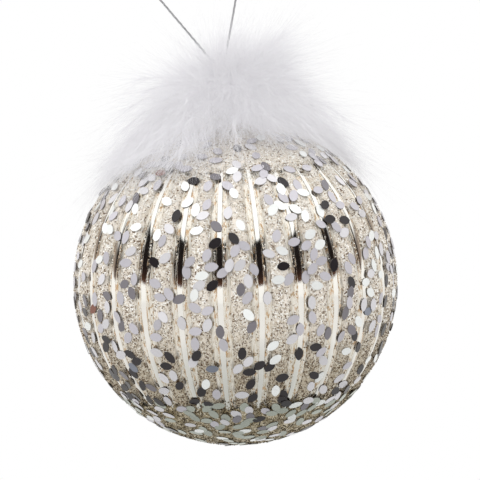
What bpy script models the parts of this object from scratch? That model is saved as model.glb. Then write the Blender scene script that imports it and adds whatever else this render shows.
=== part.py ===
"""Ribbed glass ball ornament with glitter bands, a feather ruff and a hanging cord.

Metres, +Z up. The origin is the hanging point, at the inside top of the cord's
loop. The ball hangs below it, with its front towards -Y.
"""

import math

import bmesh
import bpy
from mathutils import Matrix, Vector

# Hanging point to the top of the wire hanger, about which the ornament swings.
PIVOT = Vector((0.0102, 0.0, -0.0553))

# Glass ball
BALL_R = 0.0493            # over the crests of the ribs
RIB_COUNT = 25             # bare ribs, each with a glitter band beside it
RIB_DEPTH = 0.0008
GLASS_WALL = 0.0012
NECK_R = 0.0080
NECK_RISE = 0.0054         # neck's rim above the top of the round
NECK_FILLET = 0.0012
RIB_TURN = math.radians(-5.3)   # first bare rib, measured from the front

# Glitter coats
BAND_WIDTH_DEG = 7.2
BAND_WALL = 0.00065
COAT_WALL = 0.0004
COAT_GAP = 0.0003
CROWN_EDGE_DEG = 42.0      # angles down from the top of the ball
CROWN_START_DEG = 14.0
BASE_EDGE_DEG = 132.0
BAND_END_GAP_DEG = 0.5

# Metal cap
CAP_WALL = 0.0004
CAP_GAP = 0.0004           # cap to neck, at the side
CAP_SEAT_GAP = 0.0003      # cap to the neck's rim
CAP_DEPTH = 0.0052
CAP_CORNER = 0.0009
CAP_FLARE = 0.0007
CAP_FLUTES = 18
CAP_FLUTE_DEPTH = 0.00015

# Wire hanger
WIRE_R = 0.0005
ARCH_HALF_WIDTH = 0.0032
ARCH_RISE = 0.0064         # wire's centre at the top, above the cap
HOLE_CLEARANCE = 0.0004
LEG_LENGTH = 0.0210        # below the cap
LEG_CLEARANCE = 0.0003     # leg to the neck's bore
LEG_HOOK = 0.0010

# Feather ruff
CORE_R = 0.0008
CORE_GAP = 0.0008          # core string to the cap's skirt
PLUME_GAP = 0.0006         # plumes to the core string
PLUME_LIFT = 0.0013        # plumes above the glitter
PLUME_TIP = 0.0025
PLUME_TOP_R = 0.0055
WELL_RISE = 0.0020         # straight part of the ruff's well, above the cap
SLOT_HALF = 0.0010         # beside the plane that the cord swings in
SEAM_HALF = 0.0003
SAG_POWER = 1.5
# Edges between bunches: degrees round from the right, angle that the plumes
# droop to from the top of the ball, height above the cap.
RUFF_EDGES = (
    (0.0, 44.0, 0.0145),
    (45.0, 41.0, 0.0145),
    (90.0, 39.0, 0.0130),
    (135.0, 42.0, 0.0110),
    (180.0, 47.0, 0.0100),
    (225.0, 43.0, 0.0120),
    (270.0, 22.0, 0.0160),
    (315.0, 26.0, 0.0170),
)
BUNCH_NAMES = (
    "plumes_right_back",
    "plumes_back_right",
    "plumes_back_left",
    "plumes_left_back",
    "plumes_left_front",
    "plumes_front_left",
    "plumes_front_right",
    "plumes_right_front",
)

# Hanging cord
CORD_R = 0.00035
CORD_STEP = 0.0018
KNOT_CENTRE = Vector((0.0089, 0.0, -0.0526))
KNOT_HALF = (0.0016, 0.0012, 0.0014)
# The loop's route, (x, z): up the left strand, over the top, down the right.
LOOP_ROUTE = (
    (0.00705, -0.05042),
    (0.00230, -0.04440),
    (-0.00266, -0.03812),
    (-0.00761, -0.03185),
    (-0.01120, -0.02720),
    (-0.01440, -0.02220),
    (-0.01590, -0.01640),
    (-0.01530, -0.01040),
    (-0.01240, -0.00530),
    (-0.00790, -0.00170),
    (-0.00270, 0.00012),
    (0.0, 0.00035),
    (0.00270, 0.00012),
    (0.00800, -0.00180),
    (0.01230, -0.00540),
    (0.01510, -0.01030),
    (0.01590, -0.01570),
    (0.01490, -0.02193),
    (0.01349, -0.02878),
    (0.01183, -0.03660),
    (0.01016, -0.04443),
    (0.00903, -0.05010),
)
# The bight under the wire hanger, from the knot and back to it.
BIGHT_ROUTE = (
    (0.00870, -0.05470),
    (0.00885, -0.05575),
    (0.00945, -0.05650),
    (0.01020, -0.05675),
    (0.01100, -0.05650),
    (0.01158, -0.05575),
    (0.01155, -0.05480),
    (0.01095, -0.05395),
)

# What follows from the sizes above
CAP_TOP_Z = PIVOT.z - ARCH_RISE
NECK_RIM_Z = CAP_TOP_Z - CAP_WALL - CAP_SEAT_GAP
BALL_CENTRE = Vector((PIVOT.x, 0.0, NECK_RIM_Z - NECK_RISE - BALL_R))
BORE_R = NECK_R - GLASS_WALL
CAP_R = NECK_R + CAP_GAP + CAP_WALL + CAP_FLUTE_DEPTH
SKIRT_R = CAP_R + CAP_FLARE
CAP_BOTTOM_Z = CAP_TOP_Z - CAP_DEPTH
COAT_IN_R = BALL_R + COAT_GAP
COAT_OUT_R = COAT_IN_R + COAT_WALL
BAND_OUT_R = COAT_OUT_R - COAT_WALL / 4
CORE_RING_R = SKIRT_R + CAP_FLUTE_DEPTH + CORE_GAP + CORE_R
CORE_Z = CAP_BOTTOM_Z + 2 * CORE_R
WELL_R = CORE_RING_R + CORE_R + PLUME_GAP
PLUME_IN_R = COAT_OUT_R + PLUME_LIFT
PITCH = math.tau / RIB_COUNT
# Rows of the glass and its coats, in degrees from the top, shared so that
# their facets run side by side.
CROWN_ROWS_DEG = (CROWN_START_DEG, 24.0, 34.0, CROWN_EDGE_DEG)
BAND_ROWS_DEG = (CROWN_EDGE_DEG, 53.0, 65.0, 77.5, 90.0, 102.5, 115.0, 123.5, BASE_EDGE_DEG)
BASE_ROWS_DEG = (BASE_EDGE_DEG, 144.0, 156.0, 168.0, 180.0)


def clear_scene():
    for old in list(bpy.data.objects):
        bpy.data.objects.remove(old, do_unlink=True)


def collection(name):
    made = bpy.data.collections.new(name)
    bpy.context.scene.collection.children.link(made)
    return made


def material(name, colour, roughness, metallic=0.0, alpha=1.0):
    made = bpy.data.materials.new(name)
    made.use_nodes = True
    shader = made.node_tree.nodes["Principled BSDF"]
    shader.inputs["Base Color"].default_value = (*colour, 1.0)
    shader.inputs["Roughness"].default_value = roughness
    shader.inputs["Metallic"].default_value = metallic
    shader.inputs["Alpha"].default_value = alpha
    return made


def pivot_empty(name, place, parent=None):
    empty = bpy.data.objects.new(name, None)
    empty.location = place
    empty.empty_display_size = 0.01
    ORNAMENT.objects.link(empty)
    attach(empty, parent)
    return empty


def attach(obj, parent):
    """Parents obj so that its location stays a world place."""
    if parent is None:
        return
    bpy.context.view_layer.update()
    obj.parent = parent
    obj.matrix_parent_inverse = parent.matrix_world.inverted()


def add_object(name, data, look, place, parent=None):
    obj = bpy.data.objects.new(name, data)
    obj.location = place
    data.materials.append(look)
    ORNAMENT.objects.link(obj)
    attach(obj, parent)
    return obj


def mesh_from(name, bm, sharp_deg=35.0):
    mesh = bpy.data.meshes.new(name)
    bm.to_mesh(mesh)
    bm.free()
    mesh.shade_smooth()
    mesh.set_sharp_from_angle(angle=math.radians(sharp_deg))
    return mesh


def spun_sheet(profile, steps, start=0.0, turn=math.tau):
    """An open surface: the (r, z) profile spun about +Z from the start angle."""
    bm = bmesh.new()
    verts = [bm.verts.new((r, 0.0, z)) for r, z in profile]
    edges = [bm.edges.new(pair) for pair in zip(verts, verts[1:])]
    bmesh.ops.rotate(bm, verts=verts, cent=(0, 0, 0), matrix=Matrix.Rotation(start, 3, "Z"))
    bmesh.ops.spin(bm, geom=verts + edges, cent=(0, 0, 0), axis=(0, 0, 1), angle=turn, steps=steps)
    bmesh.ops.remove_doubles(bm, verts=bm.verts, dist=1e-6)
    bmesh.ops.recalc_face_normals(bm, faces=bm.faces)
    return bm


def add_wall(obj, thickness, outwards):
    wall = obj.modifiers.new("wall", "SOLIDIFY")
    wall.thickness = thickness
    wall.offset = 1.0 if outwards else -1.0
    return wall


def on_ball(radius, degrees_down):
    angle = math.radians(degrees_down)
    return radius * math.sin(angle), radius * math.cos(angle)


def crest_share(co, count, start):
    """1 on a crest, 0 in a valley, for ribs spread evenly round +Z."""
    return 0.5 + 0.5 * math.cos(count * (math.atan2(co.y, co.x) - start))


# Glass ball

def neck_profile():
    """The glass's outer line from the rim of the neck down to the round."""
    rim = NECK_RISE + BALL_R
    foot = math.sqrt(BALL_R**2 - (NECK_R + NECK_FILLET) ** 2)
    return [
        (NECK_R, rim),
        (NECK_R, foot + 1.7 * NECK_FILLET),
        (NECK_R + 0.3 * NECK_FILLET, foot + 0.6 * NECK_FILLET),
        (NECK_R + NECK_FILLET, foot),
    ]


def first_rib():
    return RIB_TURN - math.pi / 2


def build_glass_ball(parent):
    rows = CROWN_ROWS_DEG + BAND_ROWS_DEG[1:] + BASE_ROWS_DEG[1:]
    profile = neck_profile() + [on_ball(BALL_R, row) for row in rows]
    bm = spun_sheet(profile, 2 * RIB_COUNT, start=first_rib())
    for vert in bm.verts:
        radius = math.hypot(vert.co.x, vert.co.y)
        if vert.co.z > BALL_R * math.cos(math.radians(CROWN_START_DEG - 1.0)) or radius < 1e-6:
            continue
        depth = RIB_DEPTH * (1.0 - crest_share(vert.co, RIB_COUNT, first_rib()))
        # The ribs run out towards the neck and the bottom.
        vert.co *= 1.0 - depth * radius / BALL_R**2
    obj = add_object("glass_ball", mesh_from("glass_ball", bm), GLASS, BALL_CENTRE, parent)
    add_wall(obj, GLASS_WALL, outwards=False)


def build_glitter(parent):
    for number in range(RIB_COUNT):
        middle = first_rib() + (number + 0.5) * PITCH
        half = math.radians(BAND_WIDTH_DEG) / 2
        ends = (BAND_ROWS_DEG[0] + BAND_END_GAP_DEG, BAND_ROWS_DEG[-1] - BAND_END_GAP_DEG)
        rows = (ends[0],) + BAND_ROWS_DEG[1:-1] + (ends[1],)
        profile = [on_ball(BAND_OUT_R, row) for row in rows]
        name = f"glitter_band_{number + 1:02d}"
        bm = spun_sheet(profile, 1, start=middle - half, turn=2 * half)
        face_out(bm)
        obj = add_object(name, mesh_from(name, bm), GLITTER, BALL_CENTRE, parent)
        add_wall(obj, BAND_WALL, outwards=False)
    for name, rows in (("glitter_crown", CROWN_ROWS_DEG), ("glitter_base", BASE_ROWS_DEG)):
        profile = [on_ball(COAT_IN_R, row) for row in rows]
        bm = spun_sheet(profile, 2 * RIB_COUNT, start=first_rib())
        face_out(bm)
        obj = add_object(name, mesh_from(name, bm), GLITTER, BALL_CENTRE, parent)
        add_wall(obj, COAT_WALL, outwards=True)


def face_out(bm):
    """Turns an open sheet's faces away from the ball's centre."""
    inward = [face for face in bm.faces if face.normal.dot(face.calc_center_median()) < 0]
    bmesh.ops.reverse_faces(bm, faces=inward)


# Metal cap and wire hanger

def build_cap(parent):
    top = CAP_TOP_Z - PIVOT.z
    bottom = CAP_BOTTOM_Z - PIVOT.z
    shoulder = top - CAP_CORNER
    waist = bottom + 2 * CAP_FLARE
    profile = [
        (0.0, top),
        (CAP_R - CAP_CORNER, top),
        (CAP_R - 0.3 * CAP_CORNER, top - 0.3 * CAP_CORNER),
        (CAP_R, shoulder),
        (CAP_R, waist),
        (SKIRT_R, bottom),
    ]
    bm = spun_sheet(profile, 2 * CAP_FLUTES)
    for vert in bm.verts:
        radius = math.hypot(vert.co.x, vert.co.y)
        if vert.co.z > shoulder - 1e-6:
            continue
        push = CAP_FLUTE_DEPTH * (2 * crest_share(vert.co, CAP_FLUTES, 0.0) - 1.0) / radius
        vert.co.x *= 1.0 + push
        vert.co.y *= 1.0 + push
    cap = add_object("ball_cap", mesh_from("ball_cap", bm), CAP_METAL, PIVOT, parent)
    add_wall(cap, CAP_WALL, outwards=False)
    for side in (-1, 1):
        cut = cap.modifiers.new("leg hole", "BOOLEAN")
        cut.object = leg_hole_cutter(side)
        cut.operation = "DIFFERENCE"


def leg_hole_cutter(side):
    bm = bmesh.new()
    radius = WIRE_R + HOLE_CLEARANCE
    depth = 8 * CAP_WALL
    bmesh.ops.create_cone(
        bm, cap_ends=True, segments=12, radius1=radius, radius2=radius, depth=depth
    )
    name = "leg_hole_front" if side < 0 else "leg_hole_back"
    cutter = bpy.data.objects.new(name, mesh_from(name, bm))
    cutter.location = (PIVOT.x, side * ARCH_HALF_WIDTH, CAP_TOP_Z - CAP_WALL / 2)
    cutter.hide_render = True
    cutter.display_type = "WIRE"
    CUTTERS.objects.link(cutter)
    return cutter


def hanger_points():
    """The wire's centre line in its own plane, from the pivot, (y, z)."""
    springing = -ARCH_HALF_WIDTH
    under_cap = -ARCH_RISE - 2 * CAP_WALL - WIRE_R
    foot = -ARCH_RISE - LEG_LENGTH
    spread = BORE_R - LEG_CLEARANCE - WIRE_R - 0.0001
    leg = [
        (spread - LEG_HOOK, foot),
        (spread - 0.3 * LEG_HOOK, foot + 0.5 * LEG_HOOK),
        (spread, foot + 1.5 * LEG_HOOK),
        (ARCH_HALF_WIDTH + 0.0002, under_cap - 0.0010),
        (ARCH_HALF_WIDTH, under_cap),
        (ARCH_HALF_WIDTH, springing - 0.0006),
    ]
    arch = []
    for step in range(9):
        angle = math.pi * step / 8
        rise = springing + ARCH_HALF_WIDTH * math.sin(angle)
        arch.append((ARCH_HALF_WIDTH * math.cos(angle), rise))
    return leg + arch + [(-y, z) for y, z in reversed(leg)]


def build_hanger(parent):
    points = [Vector((0.0, y, z)) for y, z in hanger_points()]
    curve = tube_curve("spring_hanger", points, WIRE_R)
    add_object("spring_hanger", curve, WIRE_STEEL, PIVOT, parent)


def tube_curve(name, points, radius, closed=False):
    curve = bpy.data.curves.new(name, "CURVE")
    curve.dimensions = "3D"
    curve.bevel_depth = radius
    curve.bevel_resolution = 2
    curve.use_fill_caps = not closed
    spline = curve.splines.new("POLY")
    spline.points.add(len(points) - 1)
    for point, place in zip(spline.points, points):
        point.co = (*place, 1.0)
    spline.use_cyclic_u = closed
    spline.use_smooth = True
    return curve


# Feather ruff

def build_ruff_core(parent):
    ring = []
    for step in range(32):
        angle = math.tau * step / 32
        ring.append(Vector((CORE_RING_R * math.cos(angle), CORE_RING_R * math.sin(angle), 0.0)))
    curve = tube_curve("ruff_core", ring, CORE_R, closed=True)
    add_object("ruff_core", curve, CORE_STRING, (PIVOT.x, 0.0, CORE_Z), parent)


def plume_section(droop_deg, rise):
    """One closed outline of the ruff, (r, z) from the ball's centre.

    It runs out along the ball to the tips, back over the plumes to their top,
    and down the well's wall.
    """
    cap_top = CAP_TOP_Z - BALL_CENTRE.z
    inner_deg = math.degrees(math.asin(WELL_R / PLUME_IN_R))
    under = [on_ball(PLUME_IN_R, inner_deg + (droop_deg - inner_deg) * k / 4) for k in range(5)]
    top_z = cap_top + rise
    top_radius = math.hypot(PLUME_TOP_R, top_z)
    top_deg = math.degrees(math.atan2(PLUME_TOP_R, top_z))
    tip = PLUME_IN_R + PLUME_TIP
    over = []
    for step in range(6):
        share = 1.0 - step / 5
        radius = tip + (top_radius - tip) * (1.0 - share) ** SAG_POWER
        over.append(on_ball(radius, top_deg + (droop_deg - top_deg) * share))
    return under + over + [(WELL_R, cap_top + WELL_RISE)]


def place_section(outline, azimuth_deg, shift):
    """Turns an outline to its place round the ruff and moves it aside by shift."""
    angle = math.radians(azimuth_deg)
    out = Vector((math.cos(angle), math.sin(angle), 0.0))
    side = Vector((-math.sin(angle), math.cos(angle), 0.0))
    return [out * r + side * shift + Vector((0.0, 0.0, z)) for r, z in outline]


def seam_half(azimuth_deg):
    """Half the gap between two bunches, wider where the cord swings."""
    return SLOT_HALF if azimuth_deg % 180.0 == 0.0 else SEAM_HALF


def build_bunch(name, first, last, parent):
    (az_a, droop_a, rise_a), (az_b, droop_b, rise_b) = first, last
    if az_b < az_a:
        az_b += 360.0
    middle = plume_section((droop_a + droop_b) / 2, (rise_a + rise_b) / 2)
    rings = [
        place_section(plume_section(droop_a, rise_a), az_a, seam_half(az_a)),
        place_section(middle, (az_a + az_b) / 2, 0.0),
        place_section(plume_section(droop_b, rise_b), az_b, -seam_half(az_b)),
    ]
    bm = bmesh.new()
    loops = [[bm.verts.new(place) for place in ring] for ring in rings]
    for near, far in zip(loops, loops[1:]):
        for k in range(len(near)):
            n = (k + 1) % len(near)
            bm.faces.new((near[k], near[n], far[n], far[k]))
    bm.faces.new(list(reversed(loops[0])))
    bm.faces.new(loops[-1])
    bmesh.ops.triangulate(bm, faces=bm.faces)
    bmesh.ops.recalc_face_normals(bm, faces=bm.faces)
    add_object(name, mesh_from(name, bm), DOWN, BALL_CENTRE, parent)


def build_ruff(parent):
    build_ruff_core(parent)
    for number, name in enumerate(BUNCH_NAMES):
        last = RUFF_EDGES[(number + 1) % len(RUFF_EDGES)]
        build_bunch(name, RUFF_EDGES[number], last, parent)


# Hanging cord

def smooth_line(route, step):
    """Points about a step apart on a smooth curve through the route, (x, z)."""
    knots = [Vector((x, 0.0, z)) for x, z in route]
    knots = [2 * knots[0] - knots[1]] + knots + [2 * knots[-1] - knots[-2]]
    line = []
    for before, start, end, after in zip(knots, knots[1:], knots[2:], knots[3:]):
        count = max(1, round((end - start).length / step))
        for k in range(count):
            t = k / count
            line.append(
                0.5
                * (
                    2 * start
                    + (end - before) * t
                    + (2 * before - 5 * start + 4 * end - after) * t**2
                    + (3 * start - before - 3 * end + after) * t**3
                )
            )
    return line + [knots[-2]]


def build_cord():
    origin = (0.0, 0.0, 0.0)
    for name, route, step in (
        ("hanging_loop", LOOP_ROUTE, CORD_STEP),
        ("cord_bight", BIGHT_ROUTE, CORD_STEP / 2),
    ):
        curve = tube_curve(name, smooth_line(route, step), CORD_R)
        add_object(name, curve, CORD_SILVER, origin)
    bm = bmesh.new()
    bmesh.ops.create_uvsphere(bm, u_segments=10, v_segments=6, radius=1.0)
    bmesh.ops.scale(bm, vec=KNOT_HALF, verts=bm.verts)
    add_object("cord_knot", mesh_from("cord_knot", bm), CORD_SILVER, KNOT_CENTRE)


clear_scene()
ORNAMENT = collection("glass_ball_ornament")
CUTTERS = collection("cutters")
GLASS = material("silvered_glass", (0.80, 0.77, 0.70), 0.08, metallic=1.0)
GLITTER = material("champagne_glitter", (0.66, 0.61, 0.52), 0.45, metallic=0.7)
CAP_METAL = material("silver_cap", (0.75, 0.75, 0.76), 0.25, metallic=1.0)
WIRE_STEEL = material("hanger_wire", (0.62, 0.62, 0.63), 0.25, metallic=1.0)
CORE_STRING = material("ruff_string", (0.82, 0.81, 0.83), 0.9)
DOWN = material("white_down", (0.84, 0.83, 0.86), 0.9)
CORD_SILVER = material("silver_cord", (0.55, 0.55, 0.57), 0.35, metallic=0.8)

build_cord()
SWING = pivot_empty("ornament_swing", PIVOT)
build_cap(SWING)
build_hanger(SWING)
build_ruff(SWING)
DRAW_OFF = pivot_empty("ball_draw_off", BALL_CENTRE, SWING)
build_glass_ball(DRAW_OFF)
build_glitter(DRAW_OFF)
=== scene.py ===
"""Looks of a silvered glass ball ornament.

A ribbed glass ball with glitter bands, loose oval sequins, a ruff of white down
and a silver hanging cord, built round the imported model. Metres, +Z up.
"""

import logging
import math
from collections.abc import Callable, Iterator
from contextlib import contextmanager
from dataclasses import dataclass, field
from enum import Enum

import bmesh
import bpy
import numpy as np
from mathutils import Matrix, Vector
from mathutils.kdtree import KDTree


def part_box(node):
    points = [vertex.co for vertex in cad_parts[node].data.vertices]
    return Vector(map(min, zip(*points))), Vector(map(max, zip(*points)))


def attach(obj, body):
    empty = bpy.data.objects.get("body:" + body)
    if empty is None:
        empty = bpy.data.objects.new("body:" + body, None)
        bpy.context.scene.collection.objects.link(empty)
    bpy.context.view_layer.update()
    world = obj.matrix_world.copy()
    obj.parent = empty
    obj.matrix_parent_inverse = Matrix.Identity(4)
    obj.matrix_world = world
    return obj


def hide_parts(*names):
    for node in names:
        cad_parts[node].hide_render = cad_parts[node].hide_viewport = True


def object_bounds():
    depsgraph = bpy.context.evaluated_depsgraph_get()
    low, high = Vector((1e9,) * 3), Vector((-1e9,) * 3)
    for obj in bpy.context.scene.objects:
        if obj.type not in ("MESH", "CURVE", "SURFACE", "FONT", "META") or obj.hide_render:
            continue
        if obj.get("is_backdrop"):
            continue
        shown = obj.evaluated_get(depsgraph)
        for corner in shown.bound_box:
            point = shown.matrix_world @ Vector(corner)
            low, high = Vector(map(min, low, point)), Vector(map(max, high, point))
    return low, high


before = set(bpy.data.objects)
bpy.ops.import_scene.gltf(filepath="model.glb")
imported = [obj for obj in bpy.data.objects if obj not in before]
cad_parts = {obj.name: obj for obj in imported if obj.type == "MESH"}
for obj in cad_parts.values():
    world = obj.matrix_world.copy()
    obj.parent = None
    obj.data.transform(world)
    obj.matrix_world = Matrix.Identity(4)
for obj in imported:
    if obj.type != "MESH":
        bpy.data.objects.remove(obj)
CAD_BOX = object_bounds()

LOG = logging.getLogger("ornament")
MM = 0.001
SEED = 271
COAT_RADIUS = 0.0500
GOLDEN = 0.618
BUNCH_TURN = 45.0
UP = np.array([0.0, 0.0, 1.0])
WHITE = (1.0, 1.0, 1.0)

Colour = tuple[float, float, float]
Stops = list[tuple[float, Colour]]
Table = tuple[tuple[float, float], ...]


def linear(red: int, green: int, blue: int) -> Colour:
    """Turn a colour as a screen shows it into the linear one that a shader takes.

    Args:
        red, green, blue: 0 to 255.

    Returns:
        The three linear values, 0 to 1.
    """
    def one(value: int) -> float:
        """Turn one of the three values."""
        share = value / 255.0
        return share / 12.92 if share <= 0.04045 else ((share + 0.055) / 1.055) ** 2.4

    return one(red), one(green), one(blue)


def deselect_all() -> None:
    """Leave nothing selected, since loading the frame selects its nodes."""
    for item in bpy.context.selected_objects:
        item.select_set(False)
    bpy.context.view_layer.objects.active = None


def only(item: bpy.types.Object) -> None:
    """Make one object the selected and active one."""
    deselect_all()
    item.select_set(True)
    bpy.context.view_layer.objects.active = item


def settle(item: bpy.types.Object, name: str) -> bpy.types.Object:
    """Name an object and move its place, turn and scale into its mesh."""
    only(item)
    bpy.ops.object.transform_apply(location=True, rotation=True, scale=True)
    item.name = name
    item.data.name = name
    return item


@contextmanager
def editing(item: bpy.types.Object) -> Iterator[None]:
    """Work on one object in edit mode."""
    only(item)
    bpy.ops.object.mode_set(mode="EDIT")
    yield
    bpy.ops.object.mode_set(mode="OBJECT")


def pick_vertices(item: bpy.types.Object, wanted: Callable[[Vector], bool]) -> None:
    """In edit mode, select the vertices whose place passes a test, and no others."""
    bm = bmesh.from_edit_mesh(item.data)
    for vertex in bm.verts:
        vertex.select_set(wanted(vertex.co))
    bm.select_flush_mode()
    bmesh.update_edit_mesh(item.data)


def face_outwards() -> None:
    """In edit mode, turn every face's normal outwards."""
    bpy.ops.mesh.select_all(action="SELECT")
    bpy.ops.mesh.normals_make_consistent(inside=False)


def apply_modifiers(item: bpy.types.Object) -> None:
    """Apply every modifier on a piece, in order."""
    only(item)
    for modifier in list(item.modifiers):
        bpy.ops.object.modifier_apply(modifier=modifier.name)


def mesh_object(name: str, points: np.ndarray, faces: np.ndarray, flat: bool = True) -> bpy.types.Object:
    """Make an object from arrays, for shapes that repeat hundreds of times.

    Args:
        name: the new piece's name.
        points: one row of three for each vertex.
        faces: one row of three or four vertex numbers for each face.
        flat: shade every face by itself.

    Returns:
        The new object, linked to the scene.
    """
    count, sides = faces.shape
    mesh = bpy.data.meshes.new(name)
    mesh.vertices.add(len(points))
    mesh.vertices.foreach_set("co", points.astype(np.float32).ravel())
    mesh.loops.add(count * sides)
    mesh.loops.foreach_set("vertex_index", faces.astype(np.int32).ravel())
    mesh.polygons.add(count)
    mesh.polygons.foreach_set("loop_start", np.arange(count, dtype=np.int32) * sides)
    mesh.update(calc_edges=True)
    if flat:
        mesh.shade_flat()
    item = bpy.data.objects.new(name, mesh)
    bpy.context.scene.collection.objects.link(item)
    return item


def point_value(item: bpy.types.Object, name: str, values: np.ndarray) -> None:
    """Store one number for each vertex, for a material to read."""
    layer = item.data.attributes.get(name) or item.data.attributes.new(name, "FLOAT", "POINT")
    layer.data.foreach_set("value", values.astype(np.float32))


def positions(item: bpy.types.Object) -> np.ndarray:
    """Read a mesh's vertices as rows of three."""
    out = np.empty(len(item.data.vertices) * 3, np.float32)
    item.data.vertices.foreach_get("co", out)
    return out.reshape(-1, 3).astype(float)


def set_positions(item: bpy.types.Object, points: np.ndarray) -> None:
    """Write a mesh's vertices back from rows of three."""
    item.data.vertices.foreach_set("co", points.astype(np.float32).ravel())
    item.data.update()


def face_corners(item: bpy.types.Object) -> np.ndarray:
    """Read which vertex each corner of each face is at."""
    corner = np.empty(len(item.data.loops), np.int32)
    item.data.loops.foreach_get("vertex_index", corner)
    return corner


def lay_uv(item: bpy.types.Object, name: str, spots: np.ndarray) -> None:
    """Give a mesh a UV map, from one row of two for each corner."""
    layer = item.data.uv_layers.new(name=name)
    layer.data.foreach_set("uv", spots.astype(np.float32).ravel())


def join(pieces: list[bpy.types.Object], name: str) -> bpy.types.Object:
    """Join several objects into the first, and name it."""
    only(pieces[0])
    for piece in pieces[1:]:
        piece.select_set(True)
    bpy.ops.object.join()
    pieces[0].name = name
    pieces[0].data.name = name
    return pieces[0]


def ease(value: np.ndarray, low: float, high: float) -> np.ndarray:
    """Go smoothly from 0 at low to 1 at high."""
    share = np.clip((value - low) / (high - low), 0.0, 1.0)
    return share * share * (3.0 - 2.0 * share)


def unit(vectors: np.ndarray) -> np.ndarray:
    """Give every row of three the length one."""
    return vectors / np.maximum(np.linalg.norm(vectors, axis=-1, keepdims=True), 1e-12)


def arc(start: np.ndarray, middle: np.ndarray, end: np.ndarray, share: np.ndarray) -> np.ndarray:
    """Points on the curve that leaves start towards middle and comes to end from there."""
    return (1 - share) ** 2 * start + 2 * share * (1 - share) * middle + share**2 * end


def arc_way(start: np.ndarray, middle: np.ndarray, end: np.ndarray, share: np.ndarray) -> np.ndarray:
    """Which way that curve runs at each point."""
    return unit(2 * (1 - share) * (middle - start) + 2 * share * (end - middle))


def run_length(line: np.ndarray) -> np.ndarray:
    """How far along a line each of its points is."""
    return np.concatenate([[0.0], np.cumsum(np.linalg.norm(np.diff(line, axis=0), axis=1))])


def random_turns(rng: np.random.Generator, count: int) -> np.ndarray:
    """Make turning matrices that point every way alike."""
    q = unit(rng.normal(size=(count, 4)))
    w, x, y, z = q.T
    return np.stack(
        [
            np.stack([1 - 2 * (y * y + z * z), 2 * (x * y - z * w), 2 * (x * z + y * w)], -1),
            np.stack([2 * (x * y + z * w), 1 - 2 * (x * x + z * z), 2 * (y * z - x * w)], -1),
            np.stack([2 * (x * z - y * w), 2 * (y * z + x * w), 1 - 2 * (x * x + y * y)], -1),
        ],
        1,
    )


# ---------------------------------------------------------------- node tables


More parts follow.
